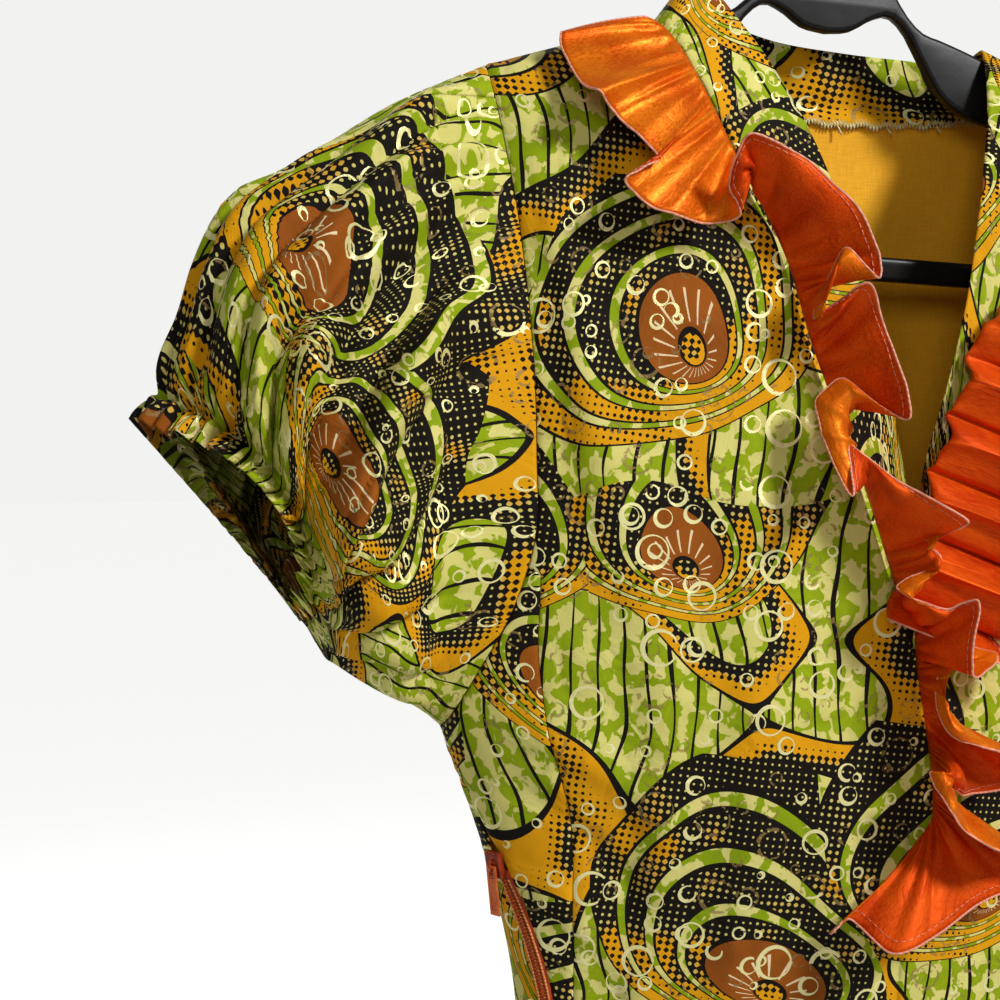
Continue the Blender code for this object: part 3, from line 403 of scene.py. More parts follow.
def crease_lift(creases, x, z):
    """Height of the creases at a place, each a ridge or trough that is steeper on one side."""
    lift = np.zeros(np.broadcast(x, z).shape)
    for x0, z0, x1, z1, half, height in creases:
        along = np.array([x1 - x0, z1 - z0], float)
        t = ((x - x0) * along[0] + (z - z0) * along[1]) / (along @ along)
        bend = np.sin(np.clip(t, 0, 1) * 3.3) * half * 0.5
        aside = ((x - x0) * along[1] - (z - z0) * along[0]) / np.hypot(*along) + bend
        fade = ease(np.minimum(t + 0.18, 1.18 - t) / 0.4)
        width = half * np.where(aside * height > 0, 0.65, 1.35)
        lift = lift + height * fade * np.exp(-(aside / width) ** 2)
    return lift


def unit(vectors):
    return vectors / np.maximum(np.linalg.norm(vectors, axis=-1, keepdims=True), 1e-9)


def tube(side, angle, z):
    """Point on the plain tube of the dress. Angle is measured from the side, positive to the
    front, in degrees; side is -1 for the wearer's right."""
    a = np.radians(angle)
    x = CENTRE_X + side * smooth(BODY, "half_width", z) * np.cos(a)
    depth = np.where(a > 0, smooth(BODY, "front", z), smooth(BODY, "back", z))
    drop = np.maximum(shoulder_z(x) - z, 0.02)
    y = -depth * np.sin(a) * (drop / (drop + 40.0)) ** 0.6
    grow = ease((SKIRT_FOLD_TOP - z) / (SKIRT_FOLD_TOP - HEM_Z))
    fold = SKIRT_FOLD_DEPTH * grow * np.sin((x - CENTRE_X) / SKIRT_FOLD_PITCH * math.tau)
    y = y + fold * np.abs(np.sin(a)) * np.where(a > 0, -1, 1)
    return np.stack(np.broadcast_arrays(x, y, z), axis=-1)


def draped(side, angle, z, stand=0.0):
    """Point on the dress with its creases, moved out by stand."""
    p = tube(side, angle, z)
    n = unit(np.cross(tube(side, angle + 0.6, z) - p, tube(side, angle, z - 1.5) - p) * side)
    x, z = p[..., 0], p[..., 2]
    near_top = ease((shoulder_z(x) - z - 4) / 30)
    at_side = ease((np.abs(angle) - 4) / 14)
    lift = np.where(np.asarray(angle) > 0, crease_lift(FRONT_CREASES, x, z),
                    crease_lift(BACK_CREASES, x, z))
    return p + n * (lift * near_top * at_side + stand)[..., None]


def angle_of(x, z):
    """Angle of the front's point at a place across."""
    out = np.abs(x - CENTRE_X) / smooth(BODY, "half_width", z)
    return np.degrees(np.arccos(np.clip(out, -1, 1)))


def seam_angle(seam, z, back=0.0):
    """Angle of a seam at a height, or of a line back from it towards the centre."""
    return angle_of(CENTRE_X + smooth(seam, "out", z) - back, z)


def front_point(x, z, stand=0.0):
    """Point on the front of the dress at x and z, moved out from it by stand."""
    x, z = np.broadcast_arrays(np.asarray(x, float), np.asarray(z, float))
    angle = angle_of(x, z)
    return np.where((x < CENTRE_X)[..., None], draped(-1, angle, z, stand),
                    draped(1, angle, z, stand))


def seam_arc(angle, z, length):
    """Turn a length along the tube into degrees."""
    a = np.radians(angle)
    return np.degrees(length / np.hypot(smooth(BODY, "half_width", z) * np.sin(a),
                                        smooth(BODY, "front", z) * np.cos(a)))


def spread(start, end, count, fine_start=True, fine_end=True):
    """Steps from start to end, closer together beside a seam."""
    t = np.linspace(0, 1, count)
    if fine_start:
        t = np.insert(t, 1, (0.12 * t[1], 0.4 * t[1]))
    if fine_end:
        t = np.insert(t, -1, (1 - 0.4 * t[-1] / (count - 1), 1 - 0.12 / (count - 1)))
    return start + (end - start) * t


def arc_lengths(grid):
    """Distance along each row of a grid, or along one line, from its first point."""
    steps = np.cumsum(np.linalg.norm(np.diff(grid, axis=-2), axis=-1), axis=-1)
    return np.concatenate([np.zeros(steps.shape[:-1] + (1,)), steps], axis=-1)


def down_lengths(grid):
    """Distance down each column of a grid from its first point."""
    return arc_lengths(grid.swapaxes(0, 1)).T


def cut_places(across, down):
    """Where each point of a grid lies on the flat cloth."""
    return np.stack(np.broadcast_arrays(across, down), axis=-1)


def normals_of(grid, inside):
    n = unit(np.cross(np.gradient(grid, axis=0), np.gradient(grid, axis=1)))
    return n * np.sign((n * (grid - inside)).sum())


def roll_in(grid, from_start, from_end, inside=INSIDE, puckers=0.5):
    """Turn a panel's two side edges in at the seams, with small puckers along them."""
    run, down = arc_lengths(grid), down_lengths(grid)
    lift = np.zeros(run.shape)
    for wanted, far in ((from_start, run), (from_end, run[:, -1:] - run)):
        if wanted:
            wave = np.sin(down / 2.05 + 1.7 * np.sin(down / 9.0)) + 0.5 * np.sin(down / 3.7)
            lift -= SEAM_ROLL * np.exp(-(far / 1.1) ** 2)
            lift += puckers * wave * np.exp(-far / 5.5) * ease(far / 1.5)
    return grid + normals_of(grid, inside) * lift[..., None]


def add_piece(name, data):
    """A new object with a mesh or curve, selected and active."""
    piece = bpy.data.objects.new(name, data)
    bpy.context.collection.objects.link(piece)
    bpy.ops.object.select_all(action="DESELECT")
    piece.select_set(True)
    bpy.context.view_layer.objects.active = piece
    return piece


def on_dress(piece):
    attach(piece, "dress")
    return piece


def weld(mesh, gap, turn_out=False):
    """Join the points of a mesh that lie within a gap."""
    bm = bmesh.new()
    bm.from_mesh(mesh)
    bmesh.ops.remove_doubles(bm, verts=bm.verts, dist=gap)
    if turn_out:
        bmesh.ops.recalc_face_normals(bm, faces=bm.faces)
    bm.to_mesh(mesh)
    bm.free()


def squares(grid, turned):
    """The four corners of each square of a grid."""
    corners = (grid[:-1, :-1], grid[1:, :-1], grid[1:, 1:], grid[:-1, 1:])
    return np.stack(corners[::-1] if turned else corners, axis=2)


def cloth(name, parts, inside=INSIDE, material=print_cotton, thick=0.5,
          tube_from=None, wrong_side=None):
    """A thin cloth shell. Each part is a grid of points and one of cut places, both in mm, and
    its edges join round a tube from row tube_from on.

    Its material goes on the side away from inside, or where inside is None, on the side that the
    grid's own order gives.
    """
    verts, faces, cuts = [], [], []
    for grid, cut in parts:
        across = np.cross(np.gradient(grid, axis=0), np.gradient(grid, axis=1))
        turned = inside is not None and (across * (grid - inside)).sum() <= 0
        index = len(verts) + np.arange(cut.size // 2).reshape(cut.shape[:2])
        if tube_from is not None:
            index[tube_from:, -1] = index[tube_from:, 0]
        verts += (grid.reshape(-1, 3) * MM).tolist()
        faces += squares(index, turned).reshape(-1, 4).tolist()
        cuts.append(squares(cut * MM, turned).ravel())
    mesh = bpy.data.meshes.new(name)
    mesh.from_pydata(verts, [], faces)
    mesh.uv_layers.new(name="cut").data.foreach_set("uv", np.concatenate(cuts))
    weld(mesh, 1e-6)
    mesh.shade_smooth()
    mesh.materials.append(material)
    piece = add_piece(name, mesh)
    wall = piece.modifiers.new("wall", "SOLIDIFY")
    wall.thickness = thick * MM
    wall.offset = -1.0
    if wrong_side:
        mesh.materials.append(wrong_side)
        wall.material_offset = 1
    bpy.ops.object.modifier_apply(modifier="wall")
    return on_dress(piece)


def half_front(side):
    """One half of the centre front, rows from hem to shoulder, columns from the centre out."""
    band = BAND_RIGHT if side < 0 else BAND_LEFT
    rows = []
    for z in np.linspace(HEM_Z, V_SEAM_Z, FRONT_ROWS):
        outer = seam_angle(PRINCESS, z)
        angles = spread(90, outer + seam_arc(outer, z, SEAM), FRONT_COLUMNS, fine_start=False)
        rows.append(draped(side, angles, z))
    tip_z = tip_of(side) - 0.1
    for t in np.linspace(0, 1, YOKE_ROWS)[1:]:
        x_in = smooth(band, "seam_x", t * BAND_END) + side * 0.2
        z_in = smooth(band, "seam_z", t * BAND_END)
        z_out = V_SEAM_Z + (tip_z - V_SEAM_Z) * t
        x_out = armhole_x(side, z_out)
        if z_out < PRINCESS_TOP_Z - 3:
            x_out = CENTRE_X + side * (smooth(PRINCESS, "out", z_out) - SEAM)
        x = spread(x_in, x_out, FRONT_COLUMNS, fine_start=False)
        z = z_in + (z_out - z_in) * (x - x_in) / (x_out - x_in)
        if t == 1.0:
            z = shoulder_z(x) - 0.05
        rows.append(draped(side, angle_of(x, z), z))
    rows[-1][:, 1] = -SHOULDER_GAP
    return np.array(rows)


halves = []
for side in (-1, 1):
    grid = half_front(side)
    cut = cut_places(grid[:, :1, 0] - CENTRE_X + side * arc_lengths(grid), grid[..., 2])
    halves.append((roll_in(grid, False, True), cut))
front_centre = cloth("front_centre_panel", halves)
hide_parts("front_centre")


# ---------------------------------------------------------------- side fronts
# A narrow panel on each side from the armhole to the hem, joined to the centre by the princess
# seam. The print isn't matched across the seam.
TUCK = -0.8             # a corner tucked under the armhole seam
TUCKED_ROWS = (-337.5, -334.0)
SIDE_ROWS, SIDE_COLUMNS = 210, 20
ZIP_GAP_Z, ZIP_GAP = (-690, -676, -466, -455), 4.0


def side_gap(side, z):
    """Half width of the side seam's gap, which opens beside the zip on the right."""
    if side > 0 or z > ZIP_GAP_Z[-1]:
        return SIDE_SEAM
    return np.interp(z, ZIP_GAP_Z, (SIDE_SEAM, ZIP_GAP, ZIP_GAP, SIDE_SEAM))


for side, word in ((-1, "right"), (1, "left")):
    rows = []
    for z in np.append(np.linspace(HEM_Z, PRINCESS_TOP_Z - 3, SIDE_ROWS), TUCKED_ROWS):
        inner = seam_angle(PRINCESS, z)
        inner = inner - seam_arc(inner, z, SEAM)
        if z <= ARMPIT_Z:
            outer = smooth(BODY, "seam_angle", z)
            outer = outer + seam_arc(outer, z, side_gap(side, z))
        else:
            outer = min(seam_angle(ARMHOLE, z, 0.1), inner - 0.2)
        rows.append(draped(side, spread(inner, outer, SIDE_COLUMNS), z,
                           TUCK if z in TUCKED_ROWS else 0.0))
    grid = np.array(rows)
    cut = cut_places(side * (arc_lengths(grid) + 240), grid[..., 2] + 61)
    panel = cloth("front_side_panel_" + word, [(roll_in(grid, True, True), cut)])
    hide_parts("front_side_" + word)


# ---------------------------------------------------------------- back
# One wide cotton panel from the neck band and shoulder seams to the hem.
BAND_BACK = {
    "seam_x": (-87, -78, -58, -25, 14, 50, 80, 98, 108),
    "seam_z": (-102, -111, -121, -129, -132, -132, -130, -127, -122),
    "edge_x": (-67, -63, -50, -22, 14, 42, 60, 68, 72),
    "edge_y": (1.4, 8, 17, 22, 23, 22, 17, 8, 1.4),
    "edge_z": (-76, -83, -93, -101, -105, -107, -109, -109, -105.5),
}
BACK_TOP_Z = -140       # where the back starts to follow the neck and shoulder seams
BACK_ROWS, BACK_COLUMNS, UPPER_ROWS, TOP_ROWS = 170, 52, 60, 9


def half_back(side):
    """One half of the back, rows from the hem up, columns from the side seam to the centre."""
    rows = []
    for z in np.linspace(HEM_Z, ARMPIT_Z, BACK_ROWS):
        outer = smooth(BODY, "seam_angle", z)
        outer = outer - seam_arc(outer, z, side_gap(side, z))
        rows.append(draped(side, spread(outer, -90, BACK_COLUMNS, fine_end=False), z))
    for t in np.linspace(0, 1, UPPER_ROWS)[1:]:
        z_out = ARMPIT_Z + (tip_of(side) - 16 - ARMPIT_Z) * t
        z_in = ARMPIT_Z + (BACK_TOP_Z - ARMPIT_Z) * t
        outer = -seam_angle(ARMHOLE, z_out, 0.1)
        angles = spread(outer, -90, BACK_COLUMNS, fine_end=False)
        z = z_out + (z_in - z_out) * (angles - outer) / (-90 - outer)
        rows.append(draped(side, angles, z))
    below, x = rows[-1][:, 2], rows[-1][:, 0]
    x = CENTRE_X + (x - CENTRE_X) * (armhole_x(side, tip_of(side)) - CENTRE_X) / (x[0] - CENTRE_X)
    neck_x, neck_z = (smooth(BAND_BACK, column, np.linspace(0, BAND_END, 60))
                      for column in ("seam_x", "seam_z"))
    top = np.minimum(shoulder_z(x) - 0.05, np.interp(x, neck_x, neck_z, left=0, right=0) - 0.3)
    for t in np.linspace(0, 1, TOP_ROWS)[1:]:
        z = below + (top - below) * t
        rows.append(draped(side, -angle_of(x, z), z))
    rows[-1][:, 1] = np.where(z > shoulder_z(x) - 0.3, SHOULDER_GAP, rows[-1][:, 1])
    return np.array(rows)


halves = []
for side in (-1, 1):
    grid = half_back(side)
    run = arc_lengths(grid)
    cut = cut_places(side * (run[:, -1:] - run) + 620, grid[..., 2] + 25)
    halves.append((roll_in(grid, True, False), cut))
back = cloth("back_panel", halves)
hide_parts("back")


# ---------------------------------------------------------------- neck band
# A folded band of the same cotton that edges the V neck and stands low round the back of the
# neck, where its raw seam is overlocked inside.
BAND_STEPS = 90
LOOP_STEP = 0.4         # from one point of the overlock thread to the next


def thread(name, colour, pitch=1.4):
    """Spun polyester thread, laid in close slanting stitches."""
    material, node, surface = new_material(name)
    lay = node("TexWave", Vector=node("TexCoord").outputs["Object"], Scale=0.31 / (pitch * MM),
               Distortion=1.0, Detail=1.0, bands_direction="DIAGONAL")
    shaded = tuple(c * 0.72 for c in linear(colour))
    feed(surface, Base_Color=node("MixRGB", lay, colour, shaded), Roughness=0.5,
         Normal=node("Bump", Strength=0.5, Distance=0.3 * MM, Height=lay))
    return material


def piping(name, paths, radius, material, sides=6):
    """Round threads of a radius in mm that follow paths of points in mm, as one mesh."""
    bm = bmesh.new()
    for path in paths:
        path = np.array(path)
        ahead = unit(np.gradient(path, axis=0))
        up = unit(np.cross(ahead, (0.31, 0.87, 0.38)))
        rings = []
        for p, u, v in zip(path, up, np.cross(ahead, up)):
            rings.append([bm.verts.new((p + radius * (u * math.cos(k) + v * math.sin(k))) * MM)
                          for k in np.arange(sides) * math.tau / sides])
        for a, b in zip(rings, rings[1:]):
            for k in range(sides):
                bm.faces.new((a[k], a[(k + 1) % sides], b[(k + 1) % sides], b[k]))
        bm.faces.new(rings[0][::-1])
        bm.faces.new(rings[-1])
    bmesh.ops.recalc_face_normals(bm, faces=bm.faces)
    mesh = bpy.data.meshes.new(name)
    bm.to_mesh(mesh)
    bm.free()
    mesh.shade_smooth()
    mesh.materials.append(material)
    return on_dress(add_piece(name, mesh))


def read_rows(table, place):
    """Every row of a table at a place counted in values."""
    return {row: smooth(table, row, place) for row in table}


for side, word, band, area in ((-1, "right", BAND_RIGHT, 0.0095), (1, "left", BAND_LEFT, 0.007)):
    rows = []
    for t in np.linspace(0, 1, BAND_STEPS):
        read = read_rows(band, t * BAND_END)
        edge = np.array([read["edge_x"], read["edge_y"], read["edge_z"]])
        seam_x, seam_z = read["seam_x"] - side * SEAM, read["seam_z"]
        share = 2.5 * (1.2 - t) / np.hypot(edge[0] - seam_x, edge[2] - seam_z)
        seam = front_point(seam_x, seam_z)
        strip = front_point(seam_x + (edge[0] - seam_x) * share,
                            seam_z + (edge[2] - seam_z) * share)
        if t == 1.0:
            seam[1] = strip[1] = edge[1] = -SHOULDER_GAP
        s = np.linspace(0, 1, 20)[1:, None]
        belly = np.sin(s * math.pi) * np.array([0, -1.0 + 0.6 * math.sin(t * 23), 0])
        rows.append(np.vstack([seam, strip, strip + (edge - strip) * s + belly]))
    grid = np.array(rows)
    cut = cut_places(side * arc_lengths(grid) + 1040 + 60 * side,
                     np.linspace(0, 285, BAND_STEPS)[:, None] - 215)
    inside = (CENTRE_X, 40, -320)
    piece = cloth("neck_band_front_" + word, [(roll_in(grid, True, False, inside), cut)], inside,
                  thick=0.8)
    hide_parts("neck_band_" + word)

read = read_rows(BAND_BACK, np.linspace(0, BAND_END, BAND_STEPS))
rows, raw_edge = [], []
for i in range(BAND_STEPS):
    x, z = read["seam_x"][i], read["seam_z"][i] + 0.1
    seam = draped(-1 if x < CENTRE_X else 1, -angle_of(x, z), z)
    edge = np.array([read[column][i] for column in ("edge_x", "edge_y", "edge_z")])
    if i in (0, BAND_STEPS - 1):
        seam[1] = edge[1] = SHOULDER_GAP
    # The seam allowance hangs 6 mm below the seam, inside, over the top of the lining
    hang = min(1.0, i / 12, (BAND_STEPS - 1 - i) / 12)
    allowance = [seam + (0, -in_by * hang, z_by) for in_by, z_by in (
        (2.9, -5.6 * hang - 0.3 * math.sin(i * 0.9)), (3.0, -2.6 * hang), (1.2, 0.5 * hang))]
    raw_edge.append(allowance[0] + (0, -0.3, 0))
    rows.append(np.vstack([allowance, seam + (edge - seam) * np.linspace(0.08, 1, 13)[:, None]]))
grid = np.array(rows)
cut = cut_places(1400 + np.linspace(0, 240, BAND_STEPS)[:, None], arc_lengths(grid))
band_back = cloth("neck_band_stand", [(grid, cut)], (CENTRE_X, -10, -118), thick=0.7)
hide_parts("neck_band_back")


def points_on(line, places):
    """Points of a line at distances along it."""
    run = arc_lengths(line)
    return np.stack([np.interp(places, run, axis) for axis in line.T], axis=-1)


# Overlock thread loops over the raw edge, with a few loose ends
raw_edge = np.array(raw_edge)
loops, ends = [], []
for k, place in enumerate(points_on(raw_edge, np.arange(9, arc_lengths(raw_edge)[-1] - 9,
                                                        LOOP_STEP))):
    loops.append(place + (0, -0.2 * (k % 2),
                          (-1.1, 0.9, 3.0, 0.9)[k % 4] + 0.7 * math.sin(k * 0.21)))
    if k % 61 == 30:
        ends.append([place + (0.5 * t, -0.5 - 0.3 * t, -0.9 * t - 0.5 * math.sin(k + t))
                     for t in range(5)])
raw_thread = thread("olive_overlock_thread", "#E6DBA0", 0.8)
piping("neck_seam_overlock", [loops] + ends, 0.5, raw_thread, sides=4)


# ---------------------------------------------------------------- lining
# Plain ochre cotton behind the back, loose from the neck seam to the waist, with long soft
# wrinkles. The weave shows as fine threads with a few thick ones.
LINING_GAP = 1.75       # how far it hangs inside the back
WAIST_ROW = 126         # the row of the back that it ends at


def plain_cotton(name, light, dark, width, length):
    """Plain weave, whose threads both ways are specks of a width and length in mm."""
    material, node, surface = new_material(name)
    cloth_mm = node("Mapping", Vector=node("UVMap", uv_map="cut"), Scale=(1000,) * 3)
    weave = node("ADD", *(
        node("TexNoise", Vector=node("Mapping", Vector=cloth_mm, Scale=scale),
             Scale=1.0, Detail=3.0, noise_dimensions="2D")
        for scale in ((1 / width, 1 / length, 1), (1 / length, 1 / width, 1))))
    tone = node("MapRange", Value=weave, From_Min=0.75, From_Max=1.25)
    feed(surface, Base_Color=node("MixRGB", tone, dark, light), Roughness=0.78, Sheen_Weight=0.1,
         Normal=node("Bump", Strength=0.6, Distance=0.2 * MM, Height=weave))
    return material


lining_cotton = plain_cotton("ochre_lining_cotton", "#FAB406", "#EEA604", 0.8, 9.0)
parts = []
for side in (-1, 1):
    grid = half_back(side)[WAIST_ROW:-1, 4:]
    centre = grid[:, -1] - (0, LINING_GAP, 0)
    grid = grid - normals_of(grid, INSIDE) * LINING_GAP
    grid[:, -1] = centre
    wrinkle = 1.4 * np.sin(grid[..., 2] / 19 + grid[..., 0] / 41) * np.sin(grid[..., 0] / 27 + 1)
    grid[..., 1] -= np.abs(wrinkle) * ease((-150 - grid[..., 2]) / 30)
    run = arc_lengths(grid)
    parts.append((grid, cut_places(side * (run[:, -1:] - run), grid[..., 2])))
lining = cloth("lining_of_back", parts, INSIDE, lining_cotton, thick=0.4)
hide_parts("lining_back")


# ---------------------------------------------------------------- sleeves
# A smooth cap yoke over the top of each sleeve, and a full puff pleated into it and into the
# armhole, drawn in at the cuff by elastic in a casing, with a short frill outside it.
SLEEVE = {
    "top_x": (-164, -182, -204, -230, -252, -271, -284, -291, -298, -302, -307),
    "top_z": (-124, -132, -143, -160, -175, -190, -215, -244, -261, -268, -280),
    "bottom_x": (-183, -187, -193, -202, -211, -221, -230, -236, -238, -242, -247),
    "bottom_z": (-407, -403, -399, -394, -388, -381, -374, -368, -364, -360, -352),
    "front": (31, 35, 41, 47, 51, 51, 46, 40, 34, 34, 38),
    "back": (27, 33, 39, 45, 48, 46, 42, 38, 35.5, 34.5, 35),
    "lean": (0, 0, 2, 5, 9, 13, 17, 20, 22, 22, 22),
    "pleat": (0, 1.2, 2.6, 3.6, 4.2, 4.0, 3.0, 1.2, 0, 0, 0),
    "cap_angle": (27, 25, 22, 17, 11, 4, 0, 0, 0, 0, 0),
}
CAP_RINGS, CUFF_RING, LAST_RING = 6, 8.5, 10
# Pleats that fan out of the cap seam and the armhole: angle at the armhole, angle at the cuff,
# first and last ring, width in degrees and height. Where the height is negative, the valley is
# above its ridge
SLEEVE_CREASES = (
    (27, 60, 0, 9.4, 11, 10.5), (37, 82, 0, 9.4, 12, 12.0), (48, 101, 0, 9.2, 11, 11.0),
    (61, 119, 0.1, 9.0, 12, -9.5), (80, 135, 0.2, 9.0, 11, 10.5), (101, 149, 0.4, 9.0, 11, 9.5),
    (123, 161, 0.5, 8.8, 11, 9.0), (146, 173, 0.9, 8.6, 11, 7.0), (168, 187, 1.4, 8.4, 10, 5.5),
    (42, 66, 0, 5.6, 6, 5.5), (20, 32, 2.2, 9.2, 8, 8.0), (8, 16, 3.6, 9.0, 8, 7.0),
    (74, 110, 4.0, 9.2, 7, 6.5), (92, 126, 3.2, 9.0, 6, -5.5), (56, 84, 4.6, 9.2, 6, 6.0),
    (332, 300, 0, 9.2, 11, -9.0), (320, 280, 0.1, 9.0, 12, -9.5), (304, 260, 0.2, 9.0, 11, 8.0),
    (284, 242, 0.5, 8.8, 11, -9.0), (260, 226, 0.7, 8.6, 11, -8.0), (236, 208, 1.1, 8.4, 10, -6.5),
)
SHIRRS = 46             # folds that the elastic draws the cuff into
PUFF_COLUMNS, CAP_COLUMNS = 440, 40


def sleeve_ring(ring, angles):
    """Points of one ring of the right sleeve. Angle 0 is the top, 90 the front, 180 the bottom."""
    read = read_rows(SLEEVE, ring)
    top = np.array([read["top_x"], 0.0, read["top_z"]])
    bottom = np.array([read["bottom_x"], 0.0, read["bottom_z"]])
    reach = (top - bottom) / 2
    a = np.radians(angles)
    front = np.sin(a)
    along = unit(np.array([-abs(reach[2]), 0.0, reach[0] * np.sign(reach[2])]))
    points = (top + bottom) / 2 + np.cos(a)[:, None] * reach
    points[:, 1] -= np.where(front > 0, read["front"], read["back"]) * front
    points -= (read["lean"] * np.maximum(front, 0) ** 1.5)[:, None] * along
    outwards = np.cos(a)[:, None] * unit(reach)
    outwards[:, 1] -= front
    pleat = 0.5 * read["pleat"] * np.sin(a * 9 + 0.7)
    turn = np.asarray(angles) % 360
    for start, end, first, last, half, height in SLEEVE_CREASES:
        t = (ring - first) / (last - first)
        if 0 < t < 1:
            away = (turn - start - (end - start) * t + 180) % 360 - 180
            u = (away + 1.2 * math.sin(ring * 1.4 + start)) * math.copysign(1 / half, height)
            ridge = np.exp(-((u + 0.85) / 0.75) ** 2)
            valley = np.exp(-np.abs(u) * np.where(u < 0, 6.0, 2.6))
            pleat = pleat + abs(height) * (ridge - valley) * min(1, 6 * t) * ease((1 - t) / 0.3)
    pleat = pleat * np.hypot(np.sin(a), 0.6 * np.cos(a))
    # A knot of small tucks where the fullness is caught beside the cap
    knot = np.exp(-((np.minimum(turn, 360 - turn) - 42) / 16) ** 2 - ((ring - 0.9) / 0.7) ** 2)
    pleat = pleat + 1.8 * np.sin(turn * 0.9 + 1.5 * np.sin(turn / 17)) * knot
    # Shirring: sharp creases where the elastic pinches the cloth, fading up into the puff, some
    # of them running on as longer folds
    wave = SHIRRS * a + 1.6 * np.sin(5 * a + 1) + 1.1 * np.sin(11 * a) + 0.25 * ring
    pinch = 1 - 2 * np.abs(np.sin(wave / 2)) ** 0.8
    long = 1 - 2 * np.abs(np.sin(wave / 4 + 0.6)) ** 0.9
    above = max(0.0, CUFF_RING - ring)
    near = math.exp(-((above / 1.7) ** 1.6))
    far = math.exp(-((above / 3.0) ** 2)) - near
    unevenness = 0.75 + 0.35 * np.sin(7 * a + 0.4) + 0.25 * np.sin(17 * a)
    shirr = (near * 4.0 * pinch + far * 4.2 * long) * unevenness
    casing = (-4.6 * math.exp(-((ring - CUFF_RING) / 0.4) ** 2)
              + 4.0 * math.exp(-((ring - 7.2) / 0.8) ** 2))
    flare = ease((ring - 8.8) / 1.2) * (1.8 + 3.2 * np.sin(wave / 2.5 + 1.3 * np.sin(3 * a)))
    return points + outwards * (pleat - shirr + casing + flare)[:, None]


def tucked_in(ring, turn):
    """Width of cloth, in mm, that the pleats hide between the top of a ring and a place on it."""
    hidden = 0.0
    for start, end, first, last, half, height in SLEEVE_CREASES:
        t = np.clip((ring - first) / (last - first), 0, 1)
        away = turn - start - (end - start) * t + 1.2 * np.sin(ring * 1.4 + start)
        hidden = hidden + 0.8 * abs(height) * ease((1 - t) / 0.5) * 0.5 * (1 + np.tanh(away / 2))
    return hidden


def armhole_ring(side, angles):
    points = []
    for turn in angles % 360:
        tip_z = tip_of(side) - 0.3
        z = tip_z + (ARMPIT_Z - tip_z) * (1 - math.cos(math.radians(turn))) / 2
        where = seam_angle(ARMHOLE, z)
        points.append(draped(side, where if turn < 180 else -where, z))
    return np.array(points) + (side * 0.1, 0, 0)


def sleeve_grid(side, rings, span, columns):
    """Rings of a sleeve, from the armhole out, each over a span of angles."""
    rows = []
    for ring in rings:
        angles = np.linspace(*span(ring), columns)
        points = sleeve_ring(max(ring, 0.001), angles)
        if side > 0:
            share = np.clip((points[:, 2] - ARMPIT_Z) / (tip_of(-1) - ARMPIT_Z), 0, 1)
            points[:, 0] = 2 * CENTRE_X - points[:, 0]
            points[:, 2] += (tip_of(1) - tip_of(-1)) * share
        if ring < 1:
            points = armhole_ring(side, angles) * (1 - ease(ring)) + points * ease(ring)
        rows.append(points)
    return np.array(rows)


def cap_end(ring, gap):
    """Angle where the puff starts beside the cap yoke, or where the yoke ends, a gap away."""
    return (smooth(SLEEVE, "cap_angle", ring) + gap) * (ring < CAP_RINGS)


rings = np.concatenate([np.linspace(0, CAP_RINGS, 42)[:-1], np.linspace(CAP_RINGS, LAST_RING, 44)])
for side, word in ((-1, "right"), (1, "left")):
    middle = (CENTRE_X + side * 249, 0, -270)
    grid = sleeve_grid(side, rings, lambda ring: (cap_end(ring, 0.1), 360 - cap_end(ring, 0.1)),
                       PUFF_COLUMNS)
    down = down_lengths(grid)
    turn = np.linspace(0, 360, PUFF_COLUMNS)
    width = np.hypot(98 * np.sin(np.radians(turn)), 50 * np.cos(np.radians(turn))) * math.pi / 220
    width = np.cumsum(width) + tucked_in(rings[:, None], turn)
    cut = cut_places(side * width + 2000 + 300 * side,
                     -down.mean(axis=1)[:, None] * 0.7 - down * 0.3)
    puff = cloth("puff_sleeve_" + word, [(grid, cut)], middle,
                 tube_from=int(np.sum(rings < CAP_RINGS)), wrong_side=print_reverse_painted_shade)
    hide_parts("sleeve_" + word)
    cap = sleeve_grid(side, np.linspace(0, 5.4, 50),
                      lambda ring: (-cap_end(ring, -0.1), cap_end(ring, -0.1)), CAP_COLUMNS)
    cut = cut_places(arc_lengths(cap) + 2700, -down_lengths(cap))
    yoke = cloth("sleeve_yoke_" + word, [(roll_in(cap, True, True, middle, 0.3), cut)], middle)
    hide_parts("sleeve_cap_" + word)


